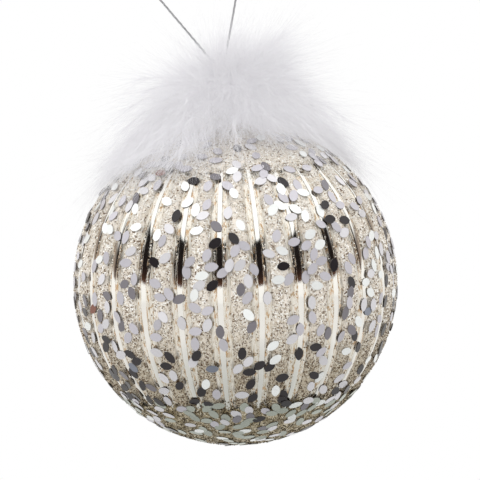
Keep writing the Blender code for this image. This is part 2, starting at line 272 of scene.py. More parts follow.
class NodeTable:
    """A node tree, with short ways to add nodes and join them."""

    def __init__(self, tree: bpy.types.NodeTree) -> None:
        """Write on this tree."""
        self.tree = tree

    def add(self, kind: str, **settings: object) -> bpy.types.Node:
        """Add a node.

        Args:
            kind: the node's type name.
            settings: the node's properties, and under inputs what feeds its sockets.

        Returns:
            The new node.
        """
        inputs = settings.pop("inputs", {})
        node = self.tree.nodes.new(kind)
        for key, value in settings.items():
            setattr(node, key, value)
        for key, value in inputs.items():
            self.feed(node.inputs[key], value)
        return node

    def feed(self, socket: bpy.types.NodeSocket, value: object) -> None:
        """Link an output to a socket, or set the socket to a plain value."""
        if isinstance(value, bpy.types.NodeSocket):
            self.tree.links.new(value, socket)
        elif isinstance(value, tuple) and socket.type == "RGBA":
            socket.default_value = (*value, 1.0)
        else:
            socket.default_value = value

    def math(self, operation: str, *values: object) -> bpy.types.NodeSocket:
        """Add a Math node on numbers or outputs, and return its output."""
        return self.add("ShaderNodeMath", operation=operation, inputs=dict(enumerate(values))).outputs[0]

    def mix(self, share: object, first: object, second: object, blend: str = "MIX") -> bpy.types.NodeSocket:
        """Add a colour Mix node, and return its colour."""
        sockets = {0: share, 6: first, 7: second}
        return self.add("ShaderNodeMix", data_type="RGBA", blend_type=blend, inputs=sockets).outputs[2]

    def tinted(self, share: object, colour: object, tint: object) -> bpy.types.NodeSocket:
        """Multiply a colour by a tint, over a share of the surface."""
        return self.mix(share, colour, self.mix(1.0, colour, tint, "MULTIPLY"))

    def ramp(self, source: bpy.types.NodeSocket, stops: Stops, steps: bool = False) -> bpy.types.NodeSocket:
        """Add a Color Ramp with these stops, and return its colour."""
        node = self.add("ShaderNodeValToRGB", inputs={"Fac": source})
        node.color_ramp.interpolation = "CONSTANT" if steps else "LINEAR"
        elements = node.color_ramp.elements
        while len(elements) < len(stops):
            elements.new(0.5)
        for element, (place, colour) in zip(elements, stops):
            element.position = place
            element.color = (*colour, 1.0)
        return node.outputs["Color"]

    def spread(self, source: object, low: object, high: object, smooth: bool = False,
               to_low: float = 0.0, to_high: float = 1.0) -> bpy.types.NodeSocket:
        """Stretch the values between low and high over another range."""
        sockets = {"Value": source, "From Min": low, "From Max": high, "To Min": to_low, "To Max": to_high}
        kind = "SMOOTHSTEP" if smooth else "LINEAR"
        return self.add("ShaderNodeMapRange", interpolation_type=kind, inputs=sockets).outputs["Result"]

    def noise(self, vector: object, scale: object, detail: float,
              roughness: float = 0.5) -> bpy.types.NodeSocket:
        """Add a Noise Texture, and return its value."""
        sockets = {"Vector": vector, "Scale": scale, "Detail": detail, "Roughness": roughness}
        return self.add("ShaderNodeTexNoise", inputs=sockets).outputs[0]

    def stretched(self, vector: object, scale: Colour, shift: Colour = (0.0, 0.0, 0.0),
                  turn: Colour = (0.0, 0.0, 0.0)) -> bpy.types.NodeSocket:
        """Scale, move and turn a pattern's coordinates."""
        sockets = {"Vector": vector, "Scale": scale, "Location": shift, "Rotation": turn}
        return self.add("ShaderNodeMapping", inputs=sockets).outputs[0]

    def place(self) -> bpy.types.NodeSocket:
        """The point on the piece, in metres."""
        return self.add("ShaderNodeTexCoord").outputs["Object"]

    def stored(self, name: str) -> bpy.types.NodeSocket:
        """A number that the mesh holds for each point."""
        return self.add("ShaderNodeAttribute", attribute_name=name).outputs["Fac"]

    def group(self, tree: bpy.types.NodeTree, **values: object) -> bpy.types.Node:
        """Place a shared group, with its own values on named inputs."""
        return self.add("ShaderNodeGroup", node_tree=tree, inputs=values)


class Sheet(NodeTable):
    """A material's node tree, with its Principled shader."""

    def __init__(self, name: str) -> None:
        """Start a material of that name with one Principled shader."""
        self.material = bpy.data.materials.new(name)
        self.material.use_nodes = True
        super().__init__(self.material.node_tree)
        self.tree.nodes.clear()
        self.output = self.add("ShaderNodeOutputMaterial")
        self.shader = self.add("ShaderNodeBsdfPrincipled")
        self.feed(self.output.inputs["Surface"], self.shader.outputs["BSDF"])

    def surface(self, **values: object) -> None:
        """Set or link the shader's own sockets."""
        for key, value in values.items():
            self.feed(self.shader.inputs[key.replace("_", " ")], value)

    def bump(self, height: bpy.types.NodeSocket, distance: float, strength: float) -> None:
        """Raise the surface by a height pattern, which feeds the shader's normal."""
        node = self.add("ShaderNodeBump",
                        inputs={"Strength": strength, "Distance": distance, "Height": height})
        self.surface(Normal=node.outputs["Normal"])


@dataclass
class EffectGroup(NodeTable):
    """A shared shader group with named sockets.

    Each input has a name, a kind (Float, Color or Vector) and a usual value.
    """

    name: str
    inputs: list[tuple[str, str, object]]
    outputs: list[tuple[str, str]]

    def __post_init__(self) -> None:
        """Start the tree, with its sockets and its two ends."""
        super().__init__(bpy.data.node_groups.new(self.name, "ShaderNodeTree"))
        sockets = self.tree.interface
        for label, kind, value in self.inputs:
            socket = sockets.new_socket(label, in_out="INPUT", socket_type=f"NodeSocket{kind}")
            socket.default_value = (*value, 1.0) if kind == "Color" else value
        for label, kind in self.outputs:
            sockets.new_socket(label, in_out="OUTPUT", socket_type=f"NodeSocket{kind}")
        self.given = self.add("NodeGroupInput").outputs
        self.put_out = self.add("NodeGroupOutput").inputs


class SharedEffects:
    """Effects that several finishes use, each built once as a node group."""

    def __init__(self) -> None:
        """Build the three groups."""
        self.specks = self._build_specks()
        self.tarnish = self._build_tarnish()
        self.fibre = self._build_fibre()

    @staticmethod
    def _build_specks() -> bpy.types.NodeTree:
        """Small facets, each of one shade between dark, usual and bright."""
        group = EffectGroup(
            "facet_specks",
            [("Scale", "Float", 2500.0), ("Dark", "Color", (0.1,) * 3), ("Usual", "Color", (0.5,) * 3),
             ("Bright", "Color", (0.9,) * 3)],
            [("Color", "Color"), ("Height", "Float")],
        )
        given = group.given
        cells = group.add("ShaderNodeTexVoronoi", feature="F1",
                          inputs={"Vector": group.place(), "Scale": given["Scale"]})
        split = group.add("ShaderNodeSeparateColor", inputs={"Color": cells.outputs["Color"]})
        not_dark = group.math("GREATER_THAN", split.outputs["Red"], 0.14)
        is_bright = group.math("GREATER_THAN", split.outputs["Red"], 0.74)
        shade = group.mix(not_dark, given["Dark"], given["Usual"])
        group.feed(group.put_out["Color"], group.mix(is_bright, shade, given["Bright"]))
        group.feed(group.put_out["Height"], split.outputs["Green"])
        return group.tree

    @staticmethod
    def _build_tarnish() -> bpy.types.NodeTree:
        """Cloudy stains, drawn out along one way of the surface."""
        group = EffectGroup(
            "old_tarnish",
            [("Vector", "Vector", (0.0, 0.0, 0.0)), ("Scale", "Float", 1.0), ("Cover", "Float", 0.5),
             ("Softness", "Float", 0.12)],
            [("Mask", "Float"), ("Cloud", "Float")],
        )
        given = group.given
        cloud = group.noise(given["Vector"], given["Scale"], 6.0, 0.62)
        low = group.math("SUBTRACT", 1.0, given["Cover"])
        high = group.math("ADD", low, given["Softness"])
        group.feed(group.put_out["Mask"], group.spread(cloud, low, high, smooth=True))
        group.feed(group.put_out["Cloud"], cloud)
        return group.tree

    @staticmethod
    def _build_fibre() -> bpy.types.NodeTree:
        """Fine threads along one way of the surface, as a shade and a height."""
        group = EffectGroup(
            "spun_fibre",
            [("Vector", "Vector", (0.0, 0.0, 0.0)), ("Scale", "Float", 10.0), ("Dark", "Color", (0.3,) * 3),
             ("Bright", "Color", (0.8,) * 3)],
            [("Color", "Color"), ("Height", "Float")],
        )
        given = group.given
        threads = group.spread(group.noise(given["Vector"], given["Scale"], 3.0), 0.32, 0.68)
        group.feed(group.put_out["Color"], group.mix(threads, given["Dark"], given["Bright"]))
        group.feed(group.put_out["Height"], threads)
        return group.tree


# ------------------------------------------------------------------- finishes


@dataclass(frozen=True)
class StainMap:
    """One pattern of stains on the ball's UV map: its grain, where it starts, its share."""

    scale: Colour
    shift: Colour
    cover: float
    softness: float

    def lay(self, sheet: Sheet, effects: SharedEffects, spot: bpy.types.NodeSocket) -> bpy.types.Node:
        """Place the pattern, and return its group."""
        return sheet.group(effects.tarnish, Vector=sheet.stretched(spot, self.scale, self.shift),
                           Scale=1.0, Cover=self.cover, Softness=self.softness)


@dataclass(frozen=True)
class SilveredGlass:
    """Champagne silvering behind glass, clear on the crests and cloudy beside them."""

    crest_tint: Colour = linear(244, 242, 237)
    flank_tint: Colour = linear(234, 229, 219)
    clouded_tint: Colour = linear(204, 193, 172)
    stain: Colour = linear(172, 136, 84)
    deep_stain: Colour = linear(104, 72, 42)
    rust: Colour = linear(186, 148, 104)
    streaks: StainMap = StainMap((620.0, 34.0, 1.0), (0.0, 0.0, 0.0), 0.52, 0.16)
    blots: StainMap = StainMap((300.0, 60.0, 1.0), (7.0, 3.0, 0.0), 0.44, 0.06)
    rust_spots: StainMap = StainMap((400.0, 62.0, 1.0), (12.0, 6.0, 0.0), 0.47, 0.05)
    clear_threads: StainMap = StainMap((900.0, 15.0, 1.0), (1.0, 9.0, 0.0), 0.53, 0.06)
    bare_spots: StainMap = StainMap((620.0, 64.0, 1.0), (4.0, 2.0, 0.0), 0.56, 0.05)

    def build(self, effects: SharedEffects) -> bpy.types.Material:
        """Make the material. It reads the ball's own UV map and its crest values."""
        sheet = Sheet("silvered_glass")
        spot = sheet.add("ShaderNodeUVMap", uv_map="rib_map").outputs["UV"]
        crest, beside = sheet.stored("crest"), sheet.stored("beside")
        away = sheet.math("SUBTRACT", 1.0, crest)
        streaks = self.streaks.lay(sheet, effects, spot)
        streak, blot, rusty, clear, bare = (
            node.outputs["Mask"] for node in (streaks, *(
                stains.lay(sheet, effects, spot)
                for stains in (self.blots, self.rust_spots, self.clear_threads, self.bare_spots))))
        rusted = sheet.math("MULTIPLY", sheet.math("MULTIPLY", rusty, away),
                            sheet.math("MULTIPLY", beside, 0.8))
        tint = sheet.mix(streak, self.flank_tint, self.clouded_tint)
        tint = sheet.mix(sheet.math("MULTIPLY", blot, 0.8), tint, self.stain)
        tint = sheet.mix(sheet.math("MULTIPLY", sheet.math("MULTIPLY", blot, streak), 0.6), tint,
                         self.deep_stain)
        tint = sheet.mix(rusted, tint, self.rust)
        near_crest = sheet.math("MULTIPLY", clear, sheet.math("MULTIPLY_ADD", beside, 0.8, 0.5))
        open_glass = sheet.math("MAXIMUM", near_crest, sheet.math("MULTIPLY", bare, beside))
        dim = sheet.math("SUBTRACT", 1.0, sheet.math("MULTIPLY", open_glass, 0.90))
        dim = sheet.math("MULTIPLY", dim, away)
        matt = sheet.math("MULTIPLY", sheet.math("MAXIMUM", dim, rusted), 0.5)
        sheet.surface(
            Base_Color=sheet.mix(crest, tint, self.crest_tint),
            Roughness=sheet.math("ADD", sheet.math("MULTIPLY", dim, 0.5), 0.05),
            Metallic=sheet.math("SUBTRACT", 1.0, matt), Coat_Weight=0.2, Coat_Roughness=0.03)
        sheet.bump(streaks.outputs["Cloud"], 0.00005, 0.5)
        return sheet.material


@dataclass(frozen=True)
class GlitterFinish:
    """Loose glitter: one shade for each grain, from dark through champagne to white."""

    name: str
    dark: Colour
    usual: Colour
    pale: Colour
    bright: Colour
    glue: Colour
    middle: float
    # Painted shade: this tint darkens the glitter low down on the ball, where less light falls.
    low_painted_shade: Colour = linear(210, 204, 190)
    high_tint: Colour = linear(238, 237, 236)
    worn_tint: Colour = (0.86, 0.84, 0.80)
    metallic: float = 0.28
    roughness: float = 0.34

    def by_height(self, sheet: Sheet, colour: bpy.types.NodeSocket) -> bpy.types.NodeSocket:
        """Darken a colour low down with painted shade, and make it a little greyer near the top."""
        height = sheet.add("ShaderNodeSeparateXYZ", inputs={0: sheet.place()}).outputs["Z"]
        low = sheet.spread(height, self.middle + 0.002, self.middle - 0.030, smooth=True)
        high = sheet.spread(height, self.middle + 0.012, self.middle + 0.028, smooth=True)
        return sheet.tinted(high, sheet.tinted(low, colour, self.low_painted_shade), self.high_tint)

    def build_grains(self) -> bpy.types.Material:
        """Make the finish of the separate grains, which reads each grain's shade."""
        sheet = Sheet(f"{self.name}_grains")
        shades = [(0.0, self.dark), (0.20, self.usual), (0.46, self.pale), (0.69, self.bright)]
        colour = sheet.ramp(sheet.stored("tone"), shades, steps=True)
        worn = sheet.tinted(sheet.noise(sheet.place(), 2600.0, 2.0), colour, self.worn_tint)
        sheet.surface(Base_Color=self.by_height(sheet, worn), Metallic=self.metallic,
                      Roughness=self.roughness)
        return sheet.material

    def build_coat(self, effects: SharedEffects) -> bpy.types.Material:
        """Make the finish of the bed that the grains sit in."""
        sheet = Sheet(f"{self.name}_bed")
        specks = sheet.group(effects.specks, Scale=2300.0, Dark=self.dark, Usual=self.pale,
                             Bright=self.bright)
        long_way = sheet.stretched(sheet.place(), (1.0, 1.0, 0.35))
        bare = sheet.group(effects.tarnish, Vector=long_way, Scale=420.0, Cover=0.50,
                           Softness=0.08).outputs["Mask"]
        colour = sheet.mix(bare, specks.outputs["Color"], self.glue)
        sheet.bump(sheet.math("MULTIPLY", specks.outputs["Height"], sheet.math("SUBTRACT", 1.0, bare)),
                   0.0002, 0.9)
        sheet.surface(Base_Color=self.by_height(sheet, colour), Metallic=self.metallic,
                      Roughness=self.roughness + 0.03)
        return sheet.material


@dataclass(frozen=True)
class SequinFinish:
    """Glossy foil ovals in silvers, lavender greys and near-black."""

    roughness: float = 0.30
    metallic: float = 0.20
    cut_edge: Colour = linear(104, 98, 94)

    def build(self) -> bpy.types.Material:
        """Make the material, which reads each sequin's own colour."""
        sheet = Sheet("foil_sequins")
        colour = sheet.add("ShaderNodeAttribute", attribute_name="foil").outputs["Color"]
        scuffs = sheet.noise(sheet.place(), 900.0, 4.0, 0.6)
        shade = sheet.mix(1.0, colour, sheet.spread(scuffs, 0.35, 0.7, to_low=0.95), "MULTIPLY")
        rough = sheet.spread(scuffs, 0.0, 1.0, to_low=self.roughness - 0.08, to_high=self.roughness + 0.10)
        sheet.surface(
            Base_Color=sheet.mix(sheet.math("MULTIPLY", sheet.stored("edge"), 0.7), shade, self.cut_edge),
            Roughness=rough, Metallic=self.metallic, Coat_Weight=0.15, Coat_Roughness=0.12)
        sheet.bump(scuffs, 0.00001, 0.2)
        return sheet.material


@dataclass(frozen=True)
class DownFinish:
    """White goose down: matt, a little cool, lighter at the tips, with a painted glow that stands in for light
    scattered through the down.
    """

    root: Colour = (0.53, 0.52, 0.54)
    tip: Colour = (0.56, 0.56, 0.565)
    # Painted light: the down glows evenly, in place of light scattered through its fine barbs.
    glow: Colour = (0.98, 0.965, 1.0)
    painted_glow_strength: float = 0.29

    def build(self) -> bpy.types.Material:
        """Make the material, which reads how far along its strand a point is and glows with painted light."""
        sheet = Sheet("white_down")
        clumps = sheet.spread(sheet.noise(sheet.place(), 420.0, 3.0), 0.3, 0.7, to_low=0.96)
        shade = sheet.mix(sheet.stored("along"), self.root, self.tip)
        sheet.surface(Base_Color=sheet.mix(1.0, shade, clumps, "MULTIPLY"), Roughness=0.85,
                      Emission_Color=self.glow, Emission_Strength=self.painted_glow_strength)
        return sheet.material


@dataclass(frozen=True)
class SilverThread:
    """Spun metallic thread, as on the hanging cord."""

    dark: Colour = linear(112, 112, 116)
    bright: Colour = linear(222, 222, 225)

    def build(self, effects: SharedEffects) -> bpy.types.Material:
        """Make the material, which reads the thread's own UV map."""
        sheet = Sheet("silver_thread")
        lay = sheet.stretched(sheet.add("ShaderNodeUVMap", uv_map="thread_map").outputs["UV"],
                              (14.0, 2.2, 1.0))
        threads = sheet.group(effects.fibre, Vector=lay, Scale=2.0, Dark=self.dark, Bright=self.bright)
        sheet.surface(Base_Color=threads.outputs["Color"], Metallic=0.75, Roughness=0.34)
        sheet.bump(threads.outputs["Height"], 0.00004, 0.7)
        return sheet.material


@dataclass(frozen=True)
class CapMetal:
    """Thin pressed cap metal, with rub marks and dull patches."""

    name: str
    bright: Colour
    dull: Colour
    roughness: float

    def build(self, effects: SharedEffects) -> bpy.types.Material:
        """Make the material."""
        sheet = Sheet(self.name)
        worn = sheet.group(effects.tarnish, Vector=sheet.place(), Scale=700.0, Cover=0.5, Softness=0.2)
        rough = sheet.spread(worn.outputs["Cloud"], 0.0, 1.0, to_low=self.roughness,
                             to_high=self.roughness + 0.2)
        sheet.surface(Base_Color=sheet.mix(worn.outputs["Mask"], self.bright, self.dull), Roughness=rough,
                      Metallic=1.0)
        sheet.bump(worn.outputs["Cloud"], 0.00003, 0.4)
        return sheet.material


@dataclass(frozen=True)
class CottonString:
    """Twisted cotton, as on the ring that the down is bound to."""

    dark: Colour = linear(196, 193, 188)
    bright: Colour = linear(240, 238, 234)

    def build(self, effects: SharedEffects) -> bpy.types.Material:
        """Make the material."""
        sheet = Sheet("cotton_string")
        lay = sheet.stretched(sheet.place(), (1.0, 1.0, 3.0), turn=(0.5, 0.5, 0.0))
        threads = sheet.group(effects.fibre, Vector=lay, Scale=1800.0, Dark=self.dark, Bright=self.bright)
        sheet.surface(Base_Color=threads.outputs["Color"], Roughness=0.9)
        sheet.bump(threads.outputs["Height"], 0.0001, 0.8)
        return sheet.material


# --------------------------------------------------------------- the ball's lie


@dataclass(frozen=True)
class BallPlan:
    """Where the ball's middle is, and how its ribs go round it. Angles are in degrees."""

    centre: Vector
    crest_radius: float
    rib_count: int = 25
    first_rib: float = math.radians(-95.3)
    band_half: float = math.radians(3.6)
    crown_edge: float = 42.0
    base_edge: float = 132.0

    @property
    def middle(self) -> np.ndarray:
        """The ball's middle, as an array."""
        return np.array(self.centre)

    @property
    def pitch(self) -> float:
        """The angle from one bare rib to the next, in radians."""
        return 2.0 * math.pi / self.rib_count

    def ripple(self, azimuth: np.ndarray) -> np.ndarray:
        """Go from 0 at a bare rib to 1 half-way to the next."""
        return 0.5 - 0.5 * np.cos((azimuth - self.first_rib) * self.rib_count)

    def spots(self, azimuth: np.ndarray, colatitude: np.ndarray, radius: np.ndarray) -> np.ndarray:
        """Turn angles about the ball's middle into points.

        Args:
            azimuth: angles round the upright axis from +X, in radians.
            colatitude: angles down from the top, in radians.
            radius: distances from the middle.

        Returns:
            One row of three for each point.
        """
        flat = radius * np.sin(colatitude)
        return np.stack(
            [flat * np.cos(azimuth), flat * np.sin(azimuth), radius * np.cos(colatitude)], -1
        ) + self.middle

    def angles(self, points: np.ndarray) -> tuple[np.ndarray, np.ndarray, np.ndarray]:
        """Turn points into azimuth, angle down from the top and distance."""
        away = points - self.middle
        radius = np.linalg.norm(away, axis=-1)
        azimuth = np.arctan2(away[..., 1], away[..., 0])
        return azimuth, np.arccos(np.clip(away[..., 2] / radius, -1.0, 1.0)), radius


def read_plan() -> BallPlan:
    """Find the ball's middle and size from the frame's glass and glitter nodes."""
    crown_low, crown_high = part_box("glitter_crown")
    base_low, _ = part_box("glitter_base")
    glass_low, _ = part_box("glass_ball")
    middle = Vector((round((crown_low.x + crown_high.x) / 2.0, 4), 0.0, round(base_low.z + COAT_RADIUS, 4)))
    return BallPlan(centre=middle, crest_radius=round(middle.z - glass_low.z, 4))


# ---------------------------------------------------------------------- studio


@dataclass
class Studio:
    """A white studio: the camera, a floor well below, and soft light all round.

    The room's stops go by how high a direction points, from 0 straight down to 1 straight up.
    """

    aim_at: Vector
    distance: float = 1.30
    seen_width: float = 0.1483
    elevation: float = math.radians(6.3)
    roll: float = math.radians(1.92)
    shift_right: float = 0.00148
    shift_up: float = 0.0132
    film_width: float = 36.0
    floor_size: float = 9.0
    floor_drop: float = 0.60
    floor_shade: Colour = (0.34, 0.34, 0.34)
    gloss_bright: float = 1.22
    soft_bright: float = 1.7
    key_size: float = 0.9
    key_power: float = 6.0
    key_place: Colour = (-0.7, -1.0, 1.1)
    # Painted shade: how reflections see the floor, darker near the middle under the ball and lighter further out.
    floor_in_gloss: Stops = field(default_factory=lambda: [
        (0.0, (0.52, 0.53, 0.51)), (0.3, (0.60, 0.61, 0.59)), (0.7, (0.76, 0.76, 0.74)),
        (1.0, (0.90, 0.89, 0.87))])
    soft_room: Stops = field(default_factory=lambda: [
        (0.0, (0.20,) * 3), (0.5, (0.56,) * 3), (0.8, (0.98,) * 3), (1.0, (1.1,) * 3)])
    front_in_gloss: Stops = field(default_factory=lambda: [
        (0.0, (0.50, 0.51, 0.49)), (0.150, (0.60, 0.61, 0.59)), (0.300, (0.74, 0.74, 0.72)),
        (0.530, (0.88, 0.87, 0.85)), (0.538, linear(84, 56, 42)), (0.580, linear(44, 30, 24)),
        (0.620, linear(27, 21, 19)), (0.785, linear(24, 21, 20)), (0.800, (1.0, 1.0, 0.98)), (1.0, WHITE)])
    back_in_gloss: Stops = field(default_factory=lambda: [
        (0.0, (0.50, 0.51, 0.49)), (0.300, (0.74, 0.74, 0.72)), (0.535, (0.88, 0.87, 0.85)),
        (0.560, linear(150, 134, 120)), (0.640, linear(132, 122, 114)), (0.680, (0.96, 0.96, 0.94)),
        (1.0, WHITE)])

    def place_camera(self) -> None:
        """Put a long lens in front of the ball, a little above it and rolled."""
        ahead = Vector((0.0, math.cos(self.elevation), -math.sin(self.elevation)))
        right = Vector((1.0, 0.0, 0.0))
        up = right.cross(ahead)
        tipped_right = right * math.cos(self.roll) - up * math.sin(self.roll)
        tipped_up = up * math.cos(self.roll) + right * math.sin(self.roll)
        aim = self.aim_at + tipped_right * self.shift_right + tipped_up * self.shift_up
        data = bpy.data.cameras.new("studio_camera")
        data.sensor_width = self.film_width
        data.lens = self.film_width * self.distance / self.seen_width
        data.clip_start = 0.05
        camera = bpy.data.objects.new("studio_camera", data)
        bpy.context.scene.collection.objects.link(camera)
        turn = Matrix((tipped_right, tipped_up, -ahead)).transposed().to_4x4()
        camera.matrix_world = Matrix.Translation(aim - ahead * self.distance) @ turn
        bpy.context.scene.camera = camera

    def lay_floor(self) -> None:
        """Lay a white floor under the hanging ball. It glows plain white to the camera, looks matt grey to diffuse
        light, and shows painted shade in reflections, darker near the middle under the ball.
        """
        deselect_all()
        bpy.ops.mesh.primitive_plane_add(
            size=self.floor_size, location=(self.aim_at.x, 0.0, self.aim_at.z - self.floor_drop))
        floor = settle(bpy.context.object, "studio_floor")
        sheet = Sheet("studio_floor")
        rays = sheet.add("ShaderNodeLightPath").outputs
        flat = sheet.add("ShaderNodeVectorMath", operation="MULTIPLY",
                         inputs={0: sheet.place(), 1: (1.0, 1.0, 0.0)})
        from_middle = sheet.add("ShaderNodeVectorMath", operation="DISTANCE",
                                inputs={0: flat.outputs[0], 1: (self.aim_at.x, 0.0, 0.0)})
        # Painted shade: reflections see the floor darker near the middle, under the ball.
        mirrored = sheet.ramp(from_middle.outputs["Value"], self.floor_in_gloss)
        matt = sheet.add("ShaderNodeBsdfDiffuse", inputs={"Color": self.floor_shade})
        glow = sheet.add("ShaderNodeEmission",
                         inputs={"Color": sheet.mix(rays["Is Glossy Ray"], WHITE, mirrored)})
        choose = sheet.add("ShaderNodeMixShader", inputs={
            "Fac": rays["Is Diffuse Ray"], 1: glow.outputs["Emission"], 2: matt.outputs["BSDF"]})
        sheet.feed(sheet.output.inputs["Surface"], choose.outputs["Shader"])
        sheet.tree.nodes.remove(sheet.shader)
        floor.data.materials.append(sheet.material)
        floor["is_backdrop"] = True

    def light(self) -> None:
        """Fill the room with soft white, and let gloss see a dark horizon in it."""
        world = bpy.data.worlds.new("studio_room")
        bpy.context.scene.world = world
        world.use_nodes = True
        world.node_tree.nodes.clear()
        sky = NodeTable(world.node_tree)
        rays = sky.add("ShaderNodeLightPath").outputs
        way = sky.add("ShaderNodeTexCoord").outputs["Generated"]
        split = sky.add("ShaderNodeSeparateXYZ", inputs={0: way}).outputs
        height = sky.math("MULTIPLY_ADD", split["Z"], 0.5, 0.5)
        behind = sky.spread(split["Y"], -0.1, 0.3, smooth=True)
        soft = sky.mix(1.0, sky.ramp(height, self.soft_room), (self.soft_bright,) * 3, "MULTIPLY")
        mirrored = sky.mix(behind, sky.ramp(height, self.front_in_gloss),
                           sky.ramp(height, self.back_in_gloss))
        mirrored = sky.mix(1.0, mirrored, (self.gloss_bright,) * 3, "MULTIPLY")
        seen = sky.mix(rays["Is Camera Ray"], soft, WHITE)
        seen = sky.mix(rays["Is Glossy Ray"], seen, mirrored)
        back = sky.add("ShaderNodeBackground", inputs={"Color": seen})
        sky.add("ShaderNodeOutputWorld", inputs={"Surface": back.outputs[0]})
        self._hang_key()
        bpy.context.scene.view_settings.view_transform = "Standard"

    def _hang_key(self) -> None:
        """Hang one broad soft lamp to the upper left, which gloss doesn't see."""
        data = bpy.data.lights.new("soft_key", "AREA")
        data.shape = "DISK"
        data.size = self.key_size
        data.energy = self.key_power
        key = bpy.data.objects.new("soft_key", data)
        key.location = self.aim_at + Vector(self.key_place)
        key.rotation_euler = (self.aim_at - key.location).to_track_quat("-Z", "Y").to_euler()
        key.visible_glossy = False
        bpy.context.scene.collection.objects.link(key)


# ------------------------------------------------------------------------ cord


def smooth_line(points: list[tuple[float, float]], step: float) -> np.ndarray:
    """Draw an even, smooth line through flat points in the cord's plane.

    Args:
        points: x and z of each point.
        step: the wished distance between the line's points.

    Returns:
        Rows of x, y and z.
    """
    flat = np.array(points, float)
    ends = np.vstack([2 * flat[0] - flat[1], flat, 2 * flat[-1] - flat[-2]])
    fine = []
    for a, b, c, d in zip(ends[:-3], ends[1:-2], ends[2:-1], ends[3:]):
        t = np.linspace(0.0, 1.0, 24, endpoint=False)[:, None]
        fine.append(0.5 * (2 * b + (c - a) * t + (2 * a - 5 * b + 4 * c - d) * t**2 + (3 * b - a - 3 * c + d) * t**3))
    line = np.vstack([*fine, flat[-1:]])
    run = run_length(line)
    even = np.linspace(0.0, run[-1], max(2, round(run[-1] / step)) + 1)
    x, z = (np.interp(even, run, line[:, k]) for k in (0, 1))
    return np.stack([x, np.zeros_like(x), z], -1)


def spun_tube(name: str, line: np.ndarray, radius: float, sides: int = 12, lobes: int = 3,
              lobe_share: float = 0.22, turn_length: float = 0.0021) -> bpy.types.Object:
    """Sweep a lobed, twisting section along a line, with rounded ends and a UV map.

    Args:
        name: the piece's name.
        line: the centre line's points.
        radius: to the top of a lobe.
        sides: points round the section.
        lobes: plies that show round the section.
        lobe_share: how deep the grooves between plies are, as a share of radius.
        turn_length: length of thread in which a ply goes once round.

    Returns:
        The tube.
    """
    tangent = unit(np.gradient(line, axis=0))
    side = np.empty_like(line)
    current = unit(np.cross(tangent[0], [0.0, 1.0, 0.01]))
    for index, way in enumerate(tangent):
        current = unit(current - way * np.dot(current, way))
        side[index] = current
    other = np.cross(tangent, side)
    run = run_length(line)
    round_angle = np.arange(sides) * 2.0 * math.pi / sides
    twist = run[:, None] * 2.0 * math.pi / turn_length
    size = radius * (1.0 - lobe_share * (0.5 - 0.5 * np.cos(lobes * round_angle[None, :] + twist)))
    near = np.minimum(run, run[-1] - run)[:, None]
    size = size * np.sqrt(np.clip(near / radius, 0.03, 1.0))
    rings = (line[:, None, :] + size[..., None] * (np.cos(round_angle)[None, :, None] * side[:, None, :]
             + np.sin(round_angle)[None, :, None] * other[:, None, :]))
    count = len(line)
    ring = np.arange(count - 1)[:, None] * sides
    along = np.arange(sides)[None, :]
    after = (along + 1) % sides
    quads = np.stack([ring + along, ring + after, ring + sides + after, ring + sides + along],
                     -1).reshape(-1, 4)
    tube = mesh_object(name, rings.reshape(-1, 3), quads)
    with editing(tube):
        bpy.ops.mesh.select_all(action="DESELECT")
        bpy.ops.mesh.select_non_manifold(extend=False)
        bpy.ops.mesh.fill_holes(sides=0)
        face_outwards()
    bpy.ops.object.shade_smooth()
    corner = face_corners(tube)
    lay_uv(tube, "thread_map", np.stack([(corner % sides) / sides, run[corner // sides] / turn_length], -1))
    return tube


